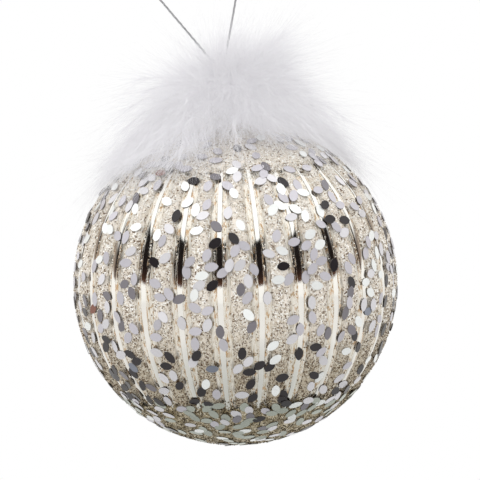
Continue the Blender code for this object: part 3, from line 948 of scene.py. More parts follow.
@dataclass
class HangingCord:
    """The silver cord: round the hanger's wire, through its knot and up into a loop."""

    finish: SilverThread
    effects: SharedEffects
    diameter: float = 0.0007
    bight: list[tuple[float, float]] = field(default_factory=lambda: [
        (0.00870, -0.05470), (0.00885, -0.05575), (0.00945, -0.05650), (0.01020, -0.05675),
        (0.01100, -0.05650), (0.01158, -0.05575), (0.01155, -0.05480), (0.01095, -0.05395)])
    loop: list[tuple[float, float]] = field(default_factory=lambda: [
        (0.00705, -0.05042), (0.00230, -0.04440), (-0.00266, -0.03812), (-0.00761, -0.03185),
        (-0.01120, -0.02720), (-0.01440, -0.02220), (-0.01590, -0.01640), (-0.01530, -0.01040),
        (-0.01240, -0.00530), (-0.00790, -0.00170), (-0.00270, 0.00012), (0.0, 0.00035),
        (0.00270, 0.00012), (0.00800, -0.00180), (0.01230, -0.00540), (0.01510, -0.01030),
        (0.01590, -0.01570), (0.01490, -0.02193), (0.01349, -0.02878), (0.01183, -0.03660),
        (0.01016, -0.04443), (0.00903, -0.05010)])
    knot_centre: tuple[float, float, float] = (0.0089, 0.0, -0.0526)
    knot_size: float = 0.00036
    point_gap: float = 0.00024

    def route(self) -> np.ndarray:
        """The cord's whole line, from inside the knot and back to it."""
        x, _, z = self.knot_centre
        points = [(x - 0.0005, z + 0.0004), (x - 0.0003, z - 0.0010)]
        points += self.bight
        points += [(x + 0.0010, z - 0.0004), (x + 0.0005, z + 0.0010)]
        points += list(reversed(self.loop))
        points += [(x - 0.0009, z + 0.0010), (x - 0.0002, z + 0.0002)]
        return smooth_line(points, self.point_gap)

    def build(self) -> None:
        material = self.finish.build(self.effects)
        line = self.route()
        cord = spun_tube("silver_hanging_cord", line, self.diameter / 2)
        knot = self._build_knot()
        tails = self._build_tails()
        for piece in (cord, knot, tails):
            piece.data.materials.append(material)
            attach(piece, "cord")
        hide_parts("hanging_loop", "cord_bight")
        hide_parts("cord_knot")
        LOG.info("cord %.1f mm long", run_length(line)[-1] / MM)

    def _build_knot(self) -> bpy.types.Object:
        """The overhand knot that ties both strands together."""
        turn = np.linspace(0.0, 2.0 * math.pi, 121)[:-1]
        shape = np.stack([np.sin(turn) + 2 * np.sin(2 * turn), -0.75 * np.sin(3 * turn),
                          (np.cos(turn) - 2 * np.cos(2 * turn)) * 0.92], -1) * self.knot_size
        line = shape + np.array(self.knot_centre)
        line = np.vstack([line, line[:1] + (line[1:2] - line[:1]) * 0.5])
        return spun_tube("cord_knot_wraps", line, self.diameter / 2)

    def _build_tails(self) -> bpy.types.Object:
        """The two cut ends that stand out of the knot."""
        x, y, z = self.knot_centre
        tails = []
        for index, ends in enumerate((
            [(x - 0.0008, y + 0.0003, z), (x - 0.0020, y + 0.0007, z + 0.0006),
             (x - 0.0034, y + 0.0008, z + 0.0004)],
            [(x - 0.0006, y - 0.0003, z), (x - 0.0016, y - 0.0007, z - 0.0006),
             (x - 0.0028, y - 0.0010, z - 0.0015)],
        )):
            line = arc(*np.array(ends), np.linspace(0.0, 1.0, 20)[:, None])
            tails.append(spun_tube(f"tail_{index}", line, self.diameter / 2))
        return join(tails, "cord_tails")


# ------------------------------------------------------------------ glass ball


@dataclass
class GlassBall:
    """The blown ball: a bead along each bare rib, rounded flanks beside it, a neck."""

    plan: BallPlan
    columns: tuple[float, ...] = (0.45, 0.80, 0.94, 1.08, 1.40, 1.80, 2.20, 2.60, 3.00, 3.40, 3.90)
    rings: int = 88
    neck_radius: float = 0.0080
    bore_radius: float = 0.0068
    neck_top: float = 0.0547
    inner_radius: float = 0.0476
    opening_deg: float = 12.2
    ribbed_from_deg: float = 11.6
    neck_foot_deg: float = 10.8
    bead_fall: float = 0.00005
    flank_curve: float = 0.93
    bead_half_deg: float = 0.94
    shoulder_deg: float = 1.08
    flank_depth: float = 0.00042
    shoulder_depth: float = 0.00016

    @property
    def per_rib(self) -> int:
        """How many columns of faces go to each rib."""
        return 2 * len(self.columns) + 2

    def build(self, material: bpy.types.Material) -> None:
        """Model the ball, from a sphere opened at the top, and dress it."""
        ball = self._open_sphere()
        self._raise_neck(ball)
        self._flute(ball)
        self._map_ribs(ball)
        ball.data.materials.append(material)
        only(ball)
        bpy.ops.object.shade_smooth_by_angle(angle=math.radians(50.0))
        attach(ball, "ball")
        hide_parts("glass_ball")
        LOG.info("blew the ball")

    def rib_drop(self, offset_deg: np.ndarray) -> np.ndarray:
        """How far the glass lies below the crest, at an angle from a rib's middle."""
        away = np.abs(offset_deg)
        bead = self.bead_fall * np.clip(away / self.bead_half_deg, 0.0, 1.0) ** 2
        shoulder = self.shoulder_depth * ease(away, self.bead_half_deg, self.shoulder_deg)
        share = np.clip((away - self.shoulder_deg) / (self.columns[-1] - self.shoulder_deg), 0.0, 1.0)
        fall = 1.0 - np.sqrt(np.clip(1.0 - (self.flank_curve * share) ** 2, 0.0, 1.0))
        return bead + shoulder + self.flank_depth * fall / (1.0 - math.sqrt(1 - self.flank_curve**2))

    def _open_sphere(self) -> bpy.types.Object:
        """A sphere with one column of faces for each step round the ribs."""
        deselect_all()
        bpy.ops.mesh.primitive_uv_sphere_add(
            segments=self.plan.rib_count * self.per_rib, ring_count=self.rings,
            radius=self.plan.crest_radius, location=self.plan.centre,
            rotation=(0.0, 0.0, self.plan.first_rib))
        ball = settle(bpy.context.object, "ribbed_glass_ball")
        top = self.plan.centre.z + self.plan.crest_radius * math.cos(math.radians(self.opening_deg))
        with editing(ball):
            pick_vertices(ball, lambda place: place.z > top)
            bpy.ops.mesh.delete(type="VERT")
        return ball

    def _ring_steps(self, start: float) -> list[tuple[float, float]]:
        """Radius and height of each ring above the opening, over the rim and inside."""
        r, n, b, top = self.plan.crest_radius, self.neck_radius, self.bore_radius, self.neck_top
        steps = [(n + 0.0010, r * math.cos(math.radians(self.neck_foot_deg))), (n + 0.0004, top - 0.0052),
                 (n + 0.0001, top - 0.0044), (n, top - 0.0034), (n, top - 0.0003), (n - 0.0003, top),
                 (b + 0.0003, top), (b, top - 0.0003), (b, top - 0.0056)]
        first = math.asin(b / self.inner_radius)
        for share in np.linspace(0.0, 1.0, 12)[1:-1]:
            angle = first + (math.pi - 0.02 - first) * share
            steps.append((self.inner_radius * math.sin(angle), self.inner_radius * math.cos(angle)))
        return [step for step in steps if step[0] <= start or step[1] < top - 0.006]

    def _raise_neck(self, ball: bpy.types.Object) -> None:
        """Draw the neck up from the opening, turn its rim in and close the inside."""
        middle = self.plan.centre
        with editing(ball):
            bpy.ops.mesh.select_mode(type="EDGE")
            bpy.ops.mesh.select_all(action="DESELECT")
            bpy.ops.mesh.select_non_manifold(extend=False)
            picked = next(v for v in bmesh.from_edit_mesh(ball.data).verts if v.select)
            height = picked.co.z - middle.z
            radius = math.hypot(picked.co.x - middle.x, picked.co.y - middle.y)
            for wide, high in self._ring_steps(radius):
                bpy.ops.mesh.extrude_edges_move(TRANSFORM_OT_translate={"value": (0.0, 0.0, high - height)})
                share = wide / radius
                bpy.ops.transform.resize(value=(share, share, 1.0),
                                         center_override=(middle.x, middle.y, middle.z + high))
                radius, height = wide, high
            bpy.ops.mesh.merge(type="CENTER")
            face_outwards()

    def _flute(self, ball: bpy.types.Object) -> None:
        """Press the ribs into the outside, as the blower's mould does."""
        points = positions(ball)
        azimuth, down, radius = self.plan.angles(points)
        pitch = math.degrees(self.plan.pitch)
        levels = [0.0, *self.columns, pitch / 2]
        levels += [pitch - column for column in reversed(self.columns)]
        step = 2.0 * math.pi / (self.plan.rib_count * self.per_rib)
        column = np.round((azimuth - self.plan.first_rib) / step).astype(int) % (self.plan.rib_count * self.per_rib)
        offset = np.array(levels)[column % self.per_rib]
        on_round = (radius > self.inner_radius + 0.0009) & (down > math.radians(self.ribbed_from_deg))
        ribs = self.plan.first_rib + (column // self.per_rib) * self.plan.pitch
        turned = np.where(on_round, ribs + np.radians(offset), azimuth)
        folded = np.where(offset > pitch / 2, offset - pitch, offset)
        degrees = np.degrees(down)
        strength = ease(degrees, 14.0, 30.0) * (1.0 - ease(degrees, 150.0, 172.0))
        radius = np.where(on_round, radius - self.rib_drop(folded) * strength, radius)
        set_positions(ball, self.plan.spots(turned, down, radius))
        shown = on_round * ((degrees > 20.0) & (degrees < 160.0))
        point_value(ball, "crest", (1.0 - ease(np.abs(folded), 0.95, 1.07)) * shown)
        point_value(ball, "beside", (1.0 - ease(np.abs(folded), 1.9, 3.2)) * shown)

    def _map_ribs(self, ball: bpy.types.Object) -> None:
        """Lay the UV map: u once round the ball, v from the top to the bottom."""
        mesh = ball.data
        azimuth, down, _ = self.plan.angles(positions(ball))
        corner = face_corners(ball)
        start = np.empty(len(mesh.polygons), np.int32)
        total = np.empty(len(mesh.polygons), np.int32)
        mesh.polygons.foreach_get("loop_start", start)
        mesh.polygons.foreach_get("loop_total", total)
        first = np.repeat(azimuth[corner[start]], total)
        turned = first + (azimuth[corner] - first + math.pi) % (2.0 * math.pi) - math.pi
        while mesh.uv_layers:
            mesh.uv_layers.remove(mesh.uv_layers[0])
        lay_uv(ball, "rib_map", np.stack([turned / (2.0 * math.pi), down[corner] / math.pi], -1))


# --------------------------------------------------------------------- glitter


@dataclass
class GlitterCoat:
    """The glitter: a bed of glue and fine dust, and coarse grains stuck in it."""

    plan: BallPlan
    rng: np.random.Generator
    finish: GlitterFinish
    base_finish: GlitterFinish
    effects: SharedEffects
    band_top: float = 0.0499
    cap_top: float = COAT_RADIUS
    bed_wall: float = 0.0004
    grain_low: float = 0.00034
    grain_high: float = 0.00062
    band_grains: int = 1900
    crown_grains: int = 12000
    base_grains: int = 16000
    sequin_half: float = 0.0019
    sunk: float = 0.00028
    bed_fall: float = 0.00128
    thinning: float = 0.00025
    overlap: float = 0.4
    ragged: float = 2.5

    def build(self, sequin_spots: np.ndarray) -> None:
        """Lay the bands, the crown and the base, with grains sunk where a sequin will lie."""
        self.covered = KDTree(len(sequin_spots))
        for number, spot in enumerate(sequin_spots):
            self.covered.insert(spot, number)
        self.covered.balance()
        self.rib_shift = {edge: self.rng.uniform(-1.0, 1.0, self.plan.rib_count)
                          for edge in (self.plan.crown_edge, self.plan.base_edge)}
        coat, grains = self.finish.build_coat(self.effects), self.finish.build_grains()
        base_coat, base_grains = self.base_finish.build_coat(self.effects), self.base_finish.build_grains()
        for index in range(self.plan.rib_count):
            middle = self.plan.first_rib + (index + 0.5) * self.plan.pitch
            bed = self._band_bed(f"glitter_bed_{index + 1:02d}", middle)
            self._finish_piece(bed, self._band_spots(middle), (coat, grains), f"glitter_band_{index + 1:02d}",
                               f"laid_glitter_{index + 1:02d}")
        edge = self.plan.crown_edge
        crown = self._cap_bed("glitter_crown_bed", 14.2, edge + self.overlap, edge)
        self._finish_piece(crown, self._cap_spots(14.4, edge + self.ragged, self.crown_grains, edge),
                           (coat, grains),
                           "glitter_crown", "laid_glitter_crown")
        edge = self.plan.base_edge
        base = self._cap_bed("glitter_base_bed", edge - self.overlap, 180.0, edge)
        self._finish_piece(base, self._cap_spots(edge - self.ragged, 179.9, self.base_grains, edge),
                           (base_coat, base_grains), "glitter_base", "laid_glitter_base")
        LOG.info("laid the glitter")

    def band_radius(self, offset: np.ndarray) -> np.ndarray:
        """The bed's outside, at an angle from the band's middle."""
        share = np.clip(np.abs(offset) / self.plan.band_half, 0.0, 1.2)
        return self.band_top - self.bed_fall * share**2.4

    def _band_bed(self, name: str, middle: float) -> bpy.types.Object:
        """One band's bed: a strip bent on to the ball and given its thickness."""
        deselect_all()
        bpy.ops.mesh.primitive_grid_add(x_subdivisions=10, y_subdivisions=84, size=2.0)
        bed = settle(bpy.context.object, name)
        flat = positions(bed)
        waver = 0.06 * np.sin(flat[:, 1] * 37.0 + middle * 11.0)
        waver += 0.05 * np.sin(flat[:, 1] * 91.0 + middle * 5.0)
        offset = flat[:, 0] * self.plan.band_half * (0.97 + waver)
        top, bottom = math.radians(self.plan.crown_edge), math.radians(self.plan.base_edge)
        down = top + (flat[:, 1] + 1.0) / 2.0 * (bottom - top)
        set_positions(bed, self.plan.spots(middle + offset, down, self.band_radius(offset)))
        self._thicken(bed)
        return bed

    def _cap_bed(self, name: str, start: float, end: float, edge: float) -> bpy.types.Object:
        """The bed over the crown or the base: a zone of a sphere, given its thickness."""
        deselect_all()
        bpy.ops.mesh.primitive_uv_sphere_add(
            segments=200, ring_count=120, radius=self.cap_top, location=self.plan.centre)
        bed = settle(bpy.context.object, name)
        up = Vector((0.0, 0.0, 1.0))
        with editing(bed):
            pick_vertices(bed,
                          lambda spot: not start <= math.degrees((spot - self.plan.centre).angle(up)) <= end)
            bpy.ops.mesh.delete(type="VERT")
        azimuth, down, radius = self.plan.angles(positions(bed))
        from_edge = np.abs(np.degrees(down) - edge)
        near = 1.0 - ease(from_edge, 0.0, 3.0)
        down = down + np.radians(self.edge_shift(azimuth, edge)) * (1.0 - ease(from_edge, 0.0, 9.0))
        ripple = self.plan.ripple(azimuth)
        radius = radius - near * (0.0005 - 0.0003 * ripple) - self.thinning * (1 - ripple)
        set_positions(bed, self.plan.spots(azimuth, down, radius))
        self._thicken(bed)
        return bed

    def edge_shift(self, azimuth: np.ndarray, edge: float) -> np.ndarray:
        """How many degrees further down the ball a cap's edge lies, at each angle round."""
        turn = ((azimuth - self.plan.first_rib) / self.plan.pitch) % self.plan.rib_count
        shift = np.interp(turn, np.arange(self.plan.rib_count), self.rib_shift[edge],
                          period=self.plan.rib_count)
        inward = -1.0 if edge < 90.0 else 1.0
        return 1.6 * shift + 1.6 * inward + 0.45 * np.sin(turn * 14.0) + 0.3 * np.sin(turn * 33.0 + 1.0)

    def _thicken(self, bed: bpy.types.Object) -> None:
        """Give a sheet its thickness, on its inner side."""
        with editing(bed):
            face_outwards()
        face = bed.data.polygons[len(bed.data.polygons) // 2]
        if np.dot(np.array(face.normal), np.array(face.center) - self.plan.middle) < 0:
            bed.data.flip_normals()
        wall = bed.modifiers.new("wall", "SOLIDIFY")
        wall.thickness = self.bed_wall
        wall.offset = -1.0
        wall.use_rim = True
        apply_modifiers(bed)
        bpy.ops.object.shade_smooth_by_angle(angle=math.radians(45.0))

    def _band_spots(self, middle: float) -> np.ndarray:
        """Where one band's grains go: close in the middle and ragged at the edges."""
        count = self.band_grains
        stray = self.rng.random(count) < 0.22
        offset = np.where(stray, self.rng.normal(0.0, 1.15, count), self.rng.uniform(-0.97, 0.97, count))
        offset = np.clip(offset, -1.55, 1.55) * self.plan.band_half
        low, high = math.cos(math.radians(self.plan.base_edge)), math.cos(math.radians(self.plan.crown_edge))
        down = np.arccos(self.rng.uniform(low, high, count))
        past = np.abs(offset) > self.plan.band_half
        glass = self.plan.crest_radius - 0.00016 - 0.00040 * np.clip(
            (7.2 - np.degrees(np.abs(offset)) - 1.08) / 2.82, 0.0, 1.0) ** 2.6
        radius = np.where(past, glass, self.band_radius(offset))
        return self.plan.spots(middle + offset, down, radius)

    def _cap_spots(self, start: float, end: float, count: int, edge: float) -> np.ndarray:
        """Where the grains of the crown or the base go, thinning past its edge."""
        low, high = math.cos(math.radians(end)), math.cos(math.radians(start))
        down = np.arccos(self.rng.uniform(low, high, count))
        azimuth = self.rng.uniform(-math.pi, math.pi, count)
        ripple = self.plan.ripple(azimuth)
        radius = self.cap_top - self.thinning * (1 - ripple)
        moved = edge + self.edge_shift(azimuth, edge)
        past = (np.degrees(down) > moved) if edge < 90 else (np.degrees(down) < moved)
        radius = np.where(past,
                          np.where(ripple > 0.5, self.band_top, self.plan.crest_radius - 0.0001), radius)
        return self.plan.spots(azimuth, down, radius)

    def _finish_piece(self, bed: bpy.types.Object, spots: np.ndarray, materials: tuple, node: str,
                      name: str) -> None:
        """Press grains into a bed, join them into one piece, hang it on the ball and hide the node it stands for."""
        grains = self._grains(f"{name}_grains", spots)
        bed.data.materials.append(materials[0])
        grains.data.materials.append(materials[1])
        piece = join([bed, grains], name)
        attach(piece, "ball")
        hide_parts(node)

    def _grains(self, name: str, spots: np.ndarray) -> bpy.types.Object:
        """Make four-faced grains at these points, every one turned its own way."""
        count = len(spots)
        _, down, _ = self.plan.angles(spots)
        under = np.array([self.covered.find(spot)[2] for spot in spots]) < self.sequin_half
        spots = spots - unit(spots - self.plan.middle) * np.where(under, self.sunk, 0.0)[:, None]
        corner = np.array([(1, 1, 1), (1, -1, -1), (-1, 1, -1), (-1, -1, 1)], float) / math.sqrt(3.0)
        sides = np.array([(0, 1, 2), (0, 3, 1), (0, 2, 3), (1, 3, 2)])
        size = self.rng.uniform(self.grain_low, self.grain_high, count) * 0.62
        turned = np.einsum("nij,kj->nki", random_turns(self.rng, count), corner) * size[:, None, None]
        points = (turned + spots[:, None, :]).reshape(-1, 3)
        faces = (np.arange(count)[:, None, None] * 4 + sides[None]).reshape(-1, 3)
        grains = mesh_object(name, points, faces)
        # Painted shade: grains low on the ball are drawn darker; near the top, fewer dark ones are drawn.
        painted_low_shade = ease(np.degrees(down), 90.0, 124.0)
        thinned = 1.0 - ease(np.degrees(down), 46.0, 76.0)
        upper = 1.0 - ease(np.degrees(down), 58.0, 78.0)
        power = 0.85 + 1.05 * painted_low_shade - 0.30 * thinned - 0.30 * upper
        point_value(grains, "tone", np.repeat(self.rng.random(count) ** power, 4))
        return grains


# --------------------------------------------------------------------- sequins


class Foil(Enum):
    """The colours that the loose sequins come in."""

    LAVENDER = linear(187, 184, 190)
    PALE = linear(208, 206, 209)
    WHITE = linear(230, 232, 230)
    GREY = linear(116, 112, 117)
    BLACK = linear(34, 29, 32)
    BLUE = linear(120, 125, 137)
    RUST = linear(122, 74, 58)
    MOSS = linear(160, 165, 154)


@dataclass
class Sequins:
    """Loose pointed ovals, glued on every way round over ribs and glitter."""

    plan: BallPlan
    rng: np.random.Generator
    finish: SequinFinish
    glass: "GlassBall"
    coat: "GlitterCoat"
    length: float = 0.0043
    width: float = 0.0027
    thickness: float = 0.00014
    oval_share: float = 0.93
    skin: float = 0.00006
    wall_spots: int = 680
    crown_spots: int = 86
    base_spots: int = 300

    def place(self) -> dict[str, np.ndarray]:
        """Choose where the sequins of each zone go, before the glitter is laid."""
        zones = (
            ("sequins_crown", 22.0, self.plan.crown_edge, self.crown_spots, 0.0025),
            ("sequins_wall", 40.0, 131.0, self.wall_spots, 0.0029),
            ("sequins_base", 129.0, 178.0, self.base_spots, 0.0021),
        )
        return {name: self._scatter(start, end, count, gap) for name, start, end, count, gap in zones}

    def build(self, places: dict[str, np.ndarray]) -> None:
        """Model one sequin, copy it to every place and dress the copies."""
        shape, faces, rim = self._model_one()
        material = self.finish.build()
        for name, spots in places.items():
            self._copy(name, shape, faces, rim, spots, material)

    def _model_one(self) -> tuple[np.ndarray, np.ndarray, np.ndarray]:
        """Shape one sequin from a disc: drawn to an oval, pointed and given an edge."""
        deselect_all()
        bpy.ops.mesh.primitive_circle_add(vertices=12, radius=0.5, fill_type="NGON", location=(0.0, 0.0, 0.0))
        one = settle(bpy.context.object, "sequin_pattern")
        oval = self.length * self.oval_share
        with editing(one):
            bpy.ops.mesh.select_all(action="SELECT")
            bpy.ops.transform.resize(value=(oval, self.width, 1.0), center_override=(0.0, 0.0, 0.0))
            pick_vertices(one, lambda place: abs(place.x) > oval * 0.49)
            bpy.ops.transform.resize(value=(1.0 / self.oval_share, 1.0, 1.0), center_override=(0.0, 0.0, 0.0))
            bpy.ops.mesh.select_all(action="SELECT")
            bpy.ops.mesh.extrude_region_move(TRANSFORM_OT_translate={"value": (0.0, 0.0, self.thickness)})
            face_outwards()
        cut = one.modifiers.new("triangles", "TRIANGULATE")
        cut.quad_method = "BEAUTY"
        apply_modifiers(one)
        points, faces = positions(one), face_corners(one).reshape(-1, 3)
        bpy.data.objects.remove(one)
        return points, faces, (points[:, 2] < self.thickness / 2).astype(float)

    def _scatter(self, start: float, end: float, count: int, gap: float) -> np.ndarray:
        """Throw sequins at a zone, each at least a gap from the last ones."""
        kept: list[np.ndarray] = []
        low, high = math.cos(math.radians(end)), math.cos(math.radians(start))
        for _ in range(count * 30):
            if len(kept) >= count:
                break
            azimuth = self.rng.uniform(-math.pi, math.pi)
            down = math.acos(self.rng.uniform(low, high))
            near_rib = abs(((azimuth - self.plan.first_rib) / self.plan.pitch + 0.5) % 1.0 - 0.5) * 2.0
            if near_rib < 0.42 and self.rng.random() < 0.72:
                continue
            height = self.ground(np.array([azimuth]), np.array([down]))[0] + self.skin
            spot = self.plan.spots(np.array(azimuth), np.array(down), np.array(height))
            if kept and np.min(np.linalg.norm(np.array(kept) - spot, axis=1)) < gap:
                continue
            kept.append(spot)
        return np.array(kept)

    def ground(self, azimuth: np.ndarray, down: np.ndarray) -> np.ndarray:
        """The distance from the ball's middle to what lies under a sequin."""
        from_rib = np.degrees(np.abs((azimuth - self.plan.first_rib + self.plan.pitch / 2) % self.plan.pitch
                                     - self.plan.pitch / 2))
        glass = self.plan.crest_radius - self.glass.rib_drop(from_rib)
        band = self.coat.band_radius(self.plan.pitch / 2 - np.radians(from_rib))
        capped = (down < math.radians(self.plan.crown_edge)) | (down > math.radians(self.plan.base_edge))
        return np.where(capped, COAT_RADIUS - 0.0001, np.maximum(glass, band))

    def _pick_foils(self, spots: np.ndarray) -> np.ndarray:
        """Choose each sequin's colour: darker ones gather low, moss grey at the base."""
        _, down, _ = self.plan.angles(spots)
        degrees = np.degrees(down)
        rows = []
        for angle, draw, shade in zip(degrees, self.rng.random(len(spots)),
                                      self.rng.uniform(0.9, 1.06, len(spots))):
            dark = 0.46 if 106.0 < angle < 130.0 else 0.09 if angle > 43.0 else 0.01
            white = 0.24 if 45.0 < angle < 74.0 else 0.15
            if angle > 130.0:
                table = [(0.46, Foil.MOSS), (0.72, Foil.PALE), (0.77, Foil.GREY), (0.80, Foil.BLACK),
                         (0.92, Foil.WHITE), (1.01, Foil.LAVENDER)]
            else:
                table = [(dark, Foil.BLACK), (dark + 0.09, Foil.GREY), (dark + 0.10, Foil.RUST),
                         (dark + 0.11, Foil.BLUE), (dark + 0.11 + white, Foil.WHITE),
                         (dark + 0.34 + white, Foil.PALE), (1.01, Foil.LAVENDER)]
            foil = next(f for limit, f in table if draw < limit)
            rows.append([min(1.0, value * shade) for value in foil.value])
        return np.array(rows)

    def _copy(self, name: str, shape: np.ndarray, faces: np.ndarray, rim: np.ndarray, spots: np.ndarray,
              material: bpy.types.Material) -> None:
        """Stand a copy of the sequin at every spot and make them one piece."""
        count = len(spots)
        out = unit(spots - self.plan.middle)
        lean = out + self.rng.normal(0.0, 0.055, (count, 3))
        normal = unit(lean)
        spin = unit(np.cross(normal, unit(self.rng.normal(size=(count, 3)))))
        side = np.cross(normal, spin)
        frames = np.stack([spin, side, normal], -1)
        size = self.rng.uniform(0.93, 1.05, (count, 1, 1))
        heights = []
        for along, across in ((0.0, 0.0), (0.4, 0.0), (-0.4, 0.0), (0.0, 0.38), (0.0, -0.38)):
            probe = spots + spin * along * self.length + side * across * self.width
            azimuth, down, _ = self.plan.angles(probe)
            heights.append(self.ground(azimuth, down))
        rest = np.max(heights, axis=0) + self.skin + self.rng.uniform(0.0, 0.00014, count)
        raised = self.plan.middle + out * rest[:, None]
        points = np.einsum("nij,kj->nki", frames, shape) * size + raised[:, None, :]
        numbers = (np.arange(count)[:, None, None] * len(shape) + faces[None]).reshape(-1, 3)
        piece = mesh_object(name, points.reshape(-1, 3), numbers)
        colours = np.repeat(self._pick_foils(spots), len(shape), axis=0)
        layer = piece.data.attributes.new("foil", "FLOAT_COLOR", "POINT")
        layer.data.foreach_set("color",
                               np.hstack([colours, np.ones((len(colours), 1))]).astype(np.float32).ravel())
        point_value(piece, "edge", np.tile(rim, count))
        piece.data.materials.append(material)
        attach(piece, "ball")
        LOG.info("%s: %d sequins", name, count)


# ------------------------------------------------------------------------ ruff


@dataclass
class DownRuff:
    """White down bound round the cap: soft plumes with fine barbs, in eight bunches."""

    plan: BallPlan
    rng: np.random.Generator
    finish: DownFinish
    root_height: float = 0.0570
    root_radius: float = 0.0052
    barb_points: int = 6
    drapes_each: int = 9
    plumes_each: int = 5
    wisps_each: int = 8
    wisp_barbs: int = 78
    mantle_barbs: int = 460
    barbs_each: int = 220
    tuft_barbs: int = 420
    clear_radius: float = 0.0506
    slot_half: float = 0.0007
    knot_room: float = 0.0010
    pivot_height: float = 0.0618
    droop: Table = (
        (0, 44), (45, 41), (90, 39), (135, 42), (180, 47), (200, 45), (225, 42), (246, 40),
        (254, 27), (264, 17),
        (280, 16), (310, 22), (340, 26), (352, 36), (360, 44))
    depth: Table = (
        (0, 17.0), (10, 15.5), (17, 12.5), (23, 9.4), (30, 6.4), (39, 4.6), (47, 3.2), (60, 2.0))
    bunches: tuple[str, ...] = (
        "plumes_right_back", "plumes_back_right", "plumes_back_left", "plumes_left_back",
        "plumes_left_front", "plumes_front_left", "plumes_front_right", "plumes_right_front")

    def build(self) -> None:
        """Make the eight bunches, one after the other round the cap."""
        material = self.finish.build()
        for index, node in enumerate(self.bunches):
            lines, thick = self._bunch_lines(index)
            piece = self._sweep(node.replace("plumes", "down"), lines, thick)
            piece.data.materials.append(material)
            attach(piece, "cap")
            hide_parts(node)
            LOG.info("%s: %d barbs", piece.name, len(lines))

    def reach(self, azimuth: float, rise: float) -> float:
        """How far the thick of the ruff goes from its root, at a rise in degrees.

        Args:
            azimuth: degrees round from +X.
            rise: degrees above level, less than zero where the plumes droop.

        Returns:
            A length in metres.
        """
        left = [(-16, 27.0), (-1, 20.0), (12, 13.5), (32, 8.0), (60, 9.0), (90, 14.5)]
        right = [(-16, 27.0), (-5, 21.0), (8, 15.5), (20, 12.5), (40, 10.5), (65, 13.5), (90, 14.5)]
        front = [(-16, 19.0), (-5, 17.0), (8, 14.0), (40, 10.5), (65, 12.5), (90, 14.5)]
        leftness = max(0.0, -math.cos(math.radians(azimuth)))
        frontness = max(0.0, -math.sin(math.radians(azimuth))) ** 3
        sides = [np.interp(rise, *zip(*table)) for table in (left, right, front)]
        wide = sides[0] * leftness + sides[1] * (1.0 - leftness)
        open_front = frontness if 258.0 < azimuth < 345.0 else 0.25 * frontness
        return float(wide * (1.0 - open_front) + sides[2] * open_front) * MM

    @staticmethod
    def lean(rise: np.ndarray) -> np.ndarray:
        """How far the down that stands up leans over to the right."""
        return 0.0045 * ease(np.asarray(rise, float), 20.0, 75.0)

    def far_reach(self, azimuth: float, rise: float) -> float:
        """How far the thin outer wisps go from the root, at a rise in degrees."""
        left = [(-29, 50.0), (-15, 42.0), (0, 34.0), (10, 31.0), (22, 28.0), (40, 20.0),
                (61, 20.0), (90, 22.0)]
        right = [(-25, 46.0), (-12, 37.0), (0, 29.0), (12, 24.0), (27, 22.0), (47, 27.0),
                 (65, 26.0), (90, 22.0)]
        leftness = 0.5 - 0.5 * math.cos(math.radians(azimuth))
        depthness = abs(math.sin(math.radians(azimuth)))
        wide = np.interp(rise, *zip(*left)) * leftness + np.interp(rise, *zip(*right)) * (1.0 - leftness)
        return float(wide * (1.0 - 0.22 * depthness)) * MM

    def _bunch_lines(self, index: int) -> tuple[np.ndarray, np.ndarray]:
        """Every barb's line in one bunch, and how thick each is at its root."""
        first = BUNCH_TURN * index
        parts = []
        for drape in range(self.drapes_each):
            azimuth = first + (drape + self.rng.random()) / self.drapes_each * BUNCH_TURN
            parts.append(self._drape(azimuth, (drape * GOLDEN + 0.3) % 1.0))
        for plume in range(self.plumes_each):
            azimuth = first + (plume * GOLDEN % 1.0) * BUNCH_TURN
            rise = -6.0 + 92.0 * (plume + self.rng.random()) / self.plumes_each
            parts.append(self._plume(math.radians(azimuth), rise))
        for wisp in range(self.wisps_each):
            azimuth = first + (wisp * GOLDEN + self.rng.random() * 0.2) % 1.0 * BUNCH_TURN
            rise = -28.0 + 112.0 * (wisp + self.rng.random()) / self.wisps_each
            parts.append(self._wisp(math.radians(azimuth), rise))
        parts += [self._tuft(first), self._mantle(first)]
        lines, thick = zip(*parts)
        return self._keep_clear(np.concatenate(lines)), np.concatenate(thick)

    def _drape(self, azimuth: float, layer: float) -> tuple[np.ndarray, np.ndarray]:
        """One plume that lies down over the ball, with barbs all along it.

        Args:
            azimuth: degrees round from +X.
            layer: 0 close on the ball, 1 at the top of the ruff.

        Returns:
            The barbs' lines, and how thick each is at its root.
        """
        rng, count = self.rng, self.barbs_each
        edge = float(np.interp(azimuth % 360.0, *zip(*self.droop))) * rng.uniform(0.80, 1.02) - 2.0
        start = rng.beta(1.25, 1.0, count)
        bow = math.radians(rng.normal(0.0, 9.0))

        def spots(share: np.ndarray) -> np.ndarray:
            """Points on the plume's quill, from its root to the ruff's edge."""
            down = 7.0 + (edge - 7.0) * share
            depth = np.interp(down, *zip(*self.depth)) * (0.14 + 0.86 * layer) * MM
            return self.plan.spots(math.radians(azimuth) + bow * share**2, np.radians(down),
                                   self.clear_radius + depth)

        spot = spots(start)
        along = unit(spots(start + 0.02) - spot)
        level = unit(np.cross(along, UP + 0.001)) * np.where(rng.random((count, 1)) < 0.5, -1.0, 1.0)
        across = unit(level + 0.45 * rng.normal(size=(count, 3)))
        spread = np.radians(rng.normal(44.0, 13.0, (count, 1)) * (1.15 - 0.62 * start[:, None]))
        way = unit(along * np.cos(spread) + across * np.sin(spread))
        long_ones = rng.random((count, 1)) < 0.14
        length = rng.uniform(0.0080, 0.0140, (count, 1)) * np.where(long_ones, 1.6, 1.0)
        return self._barbs(spot, way, along, length), np.where(long_ones[:, 0], 0.000030, 0.000042)

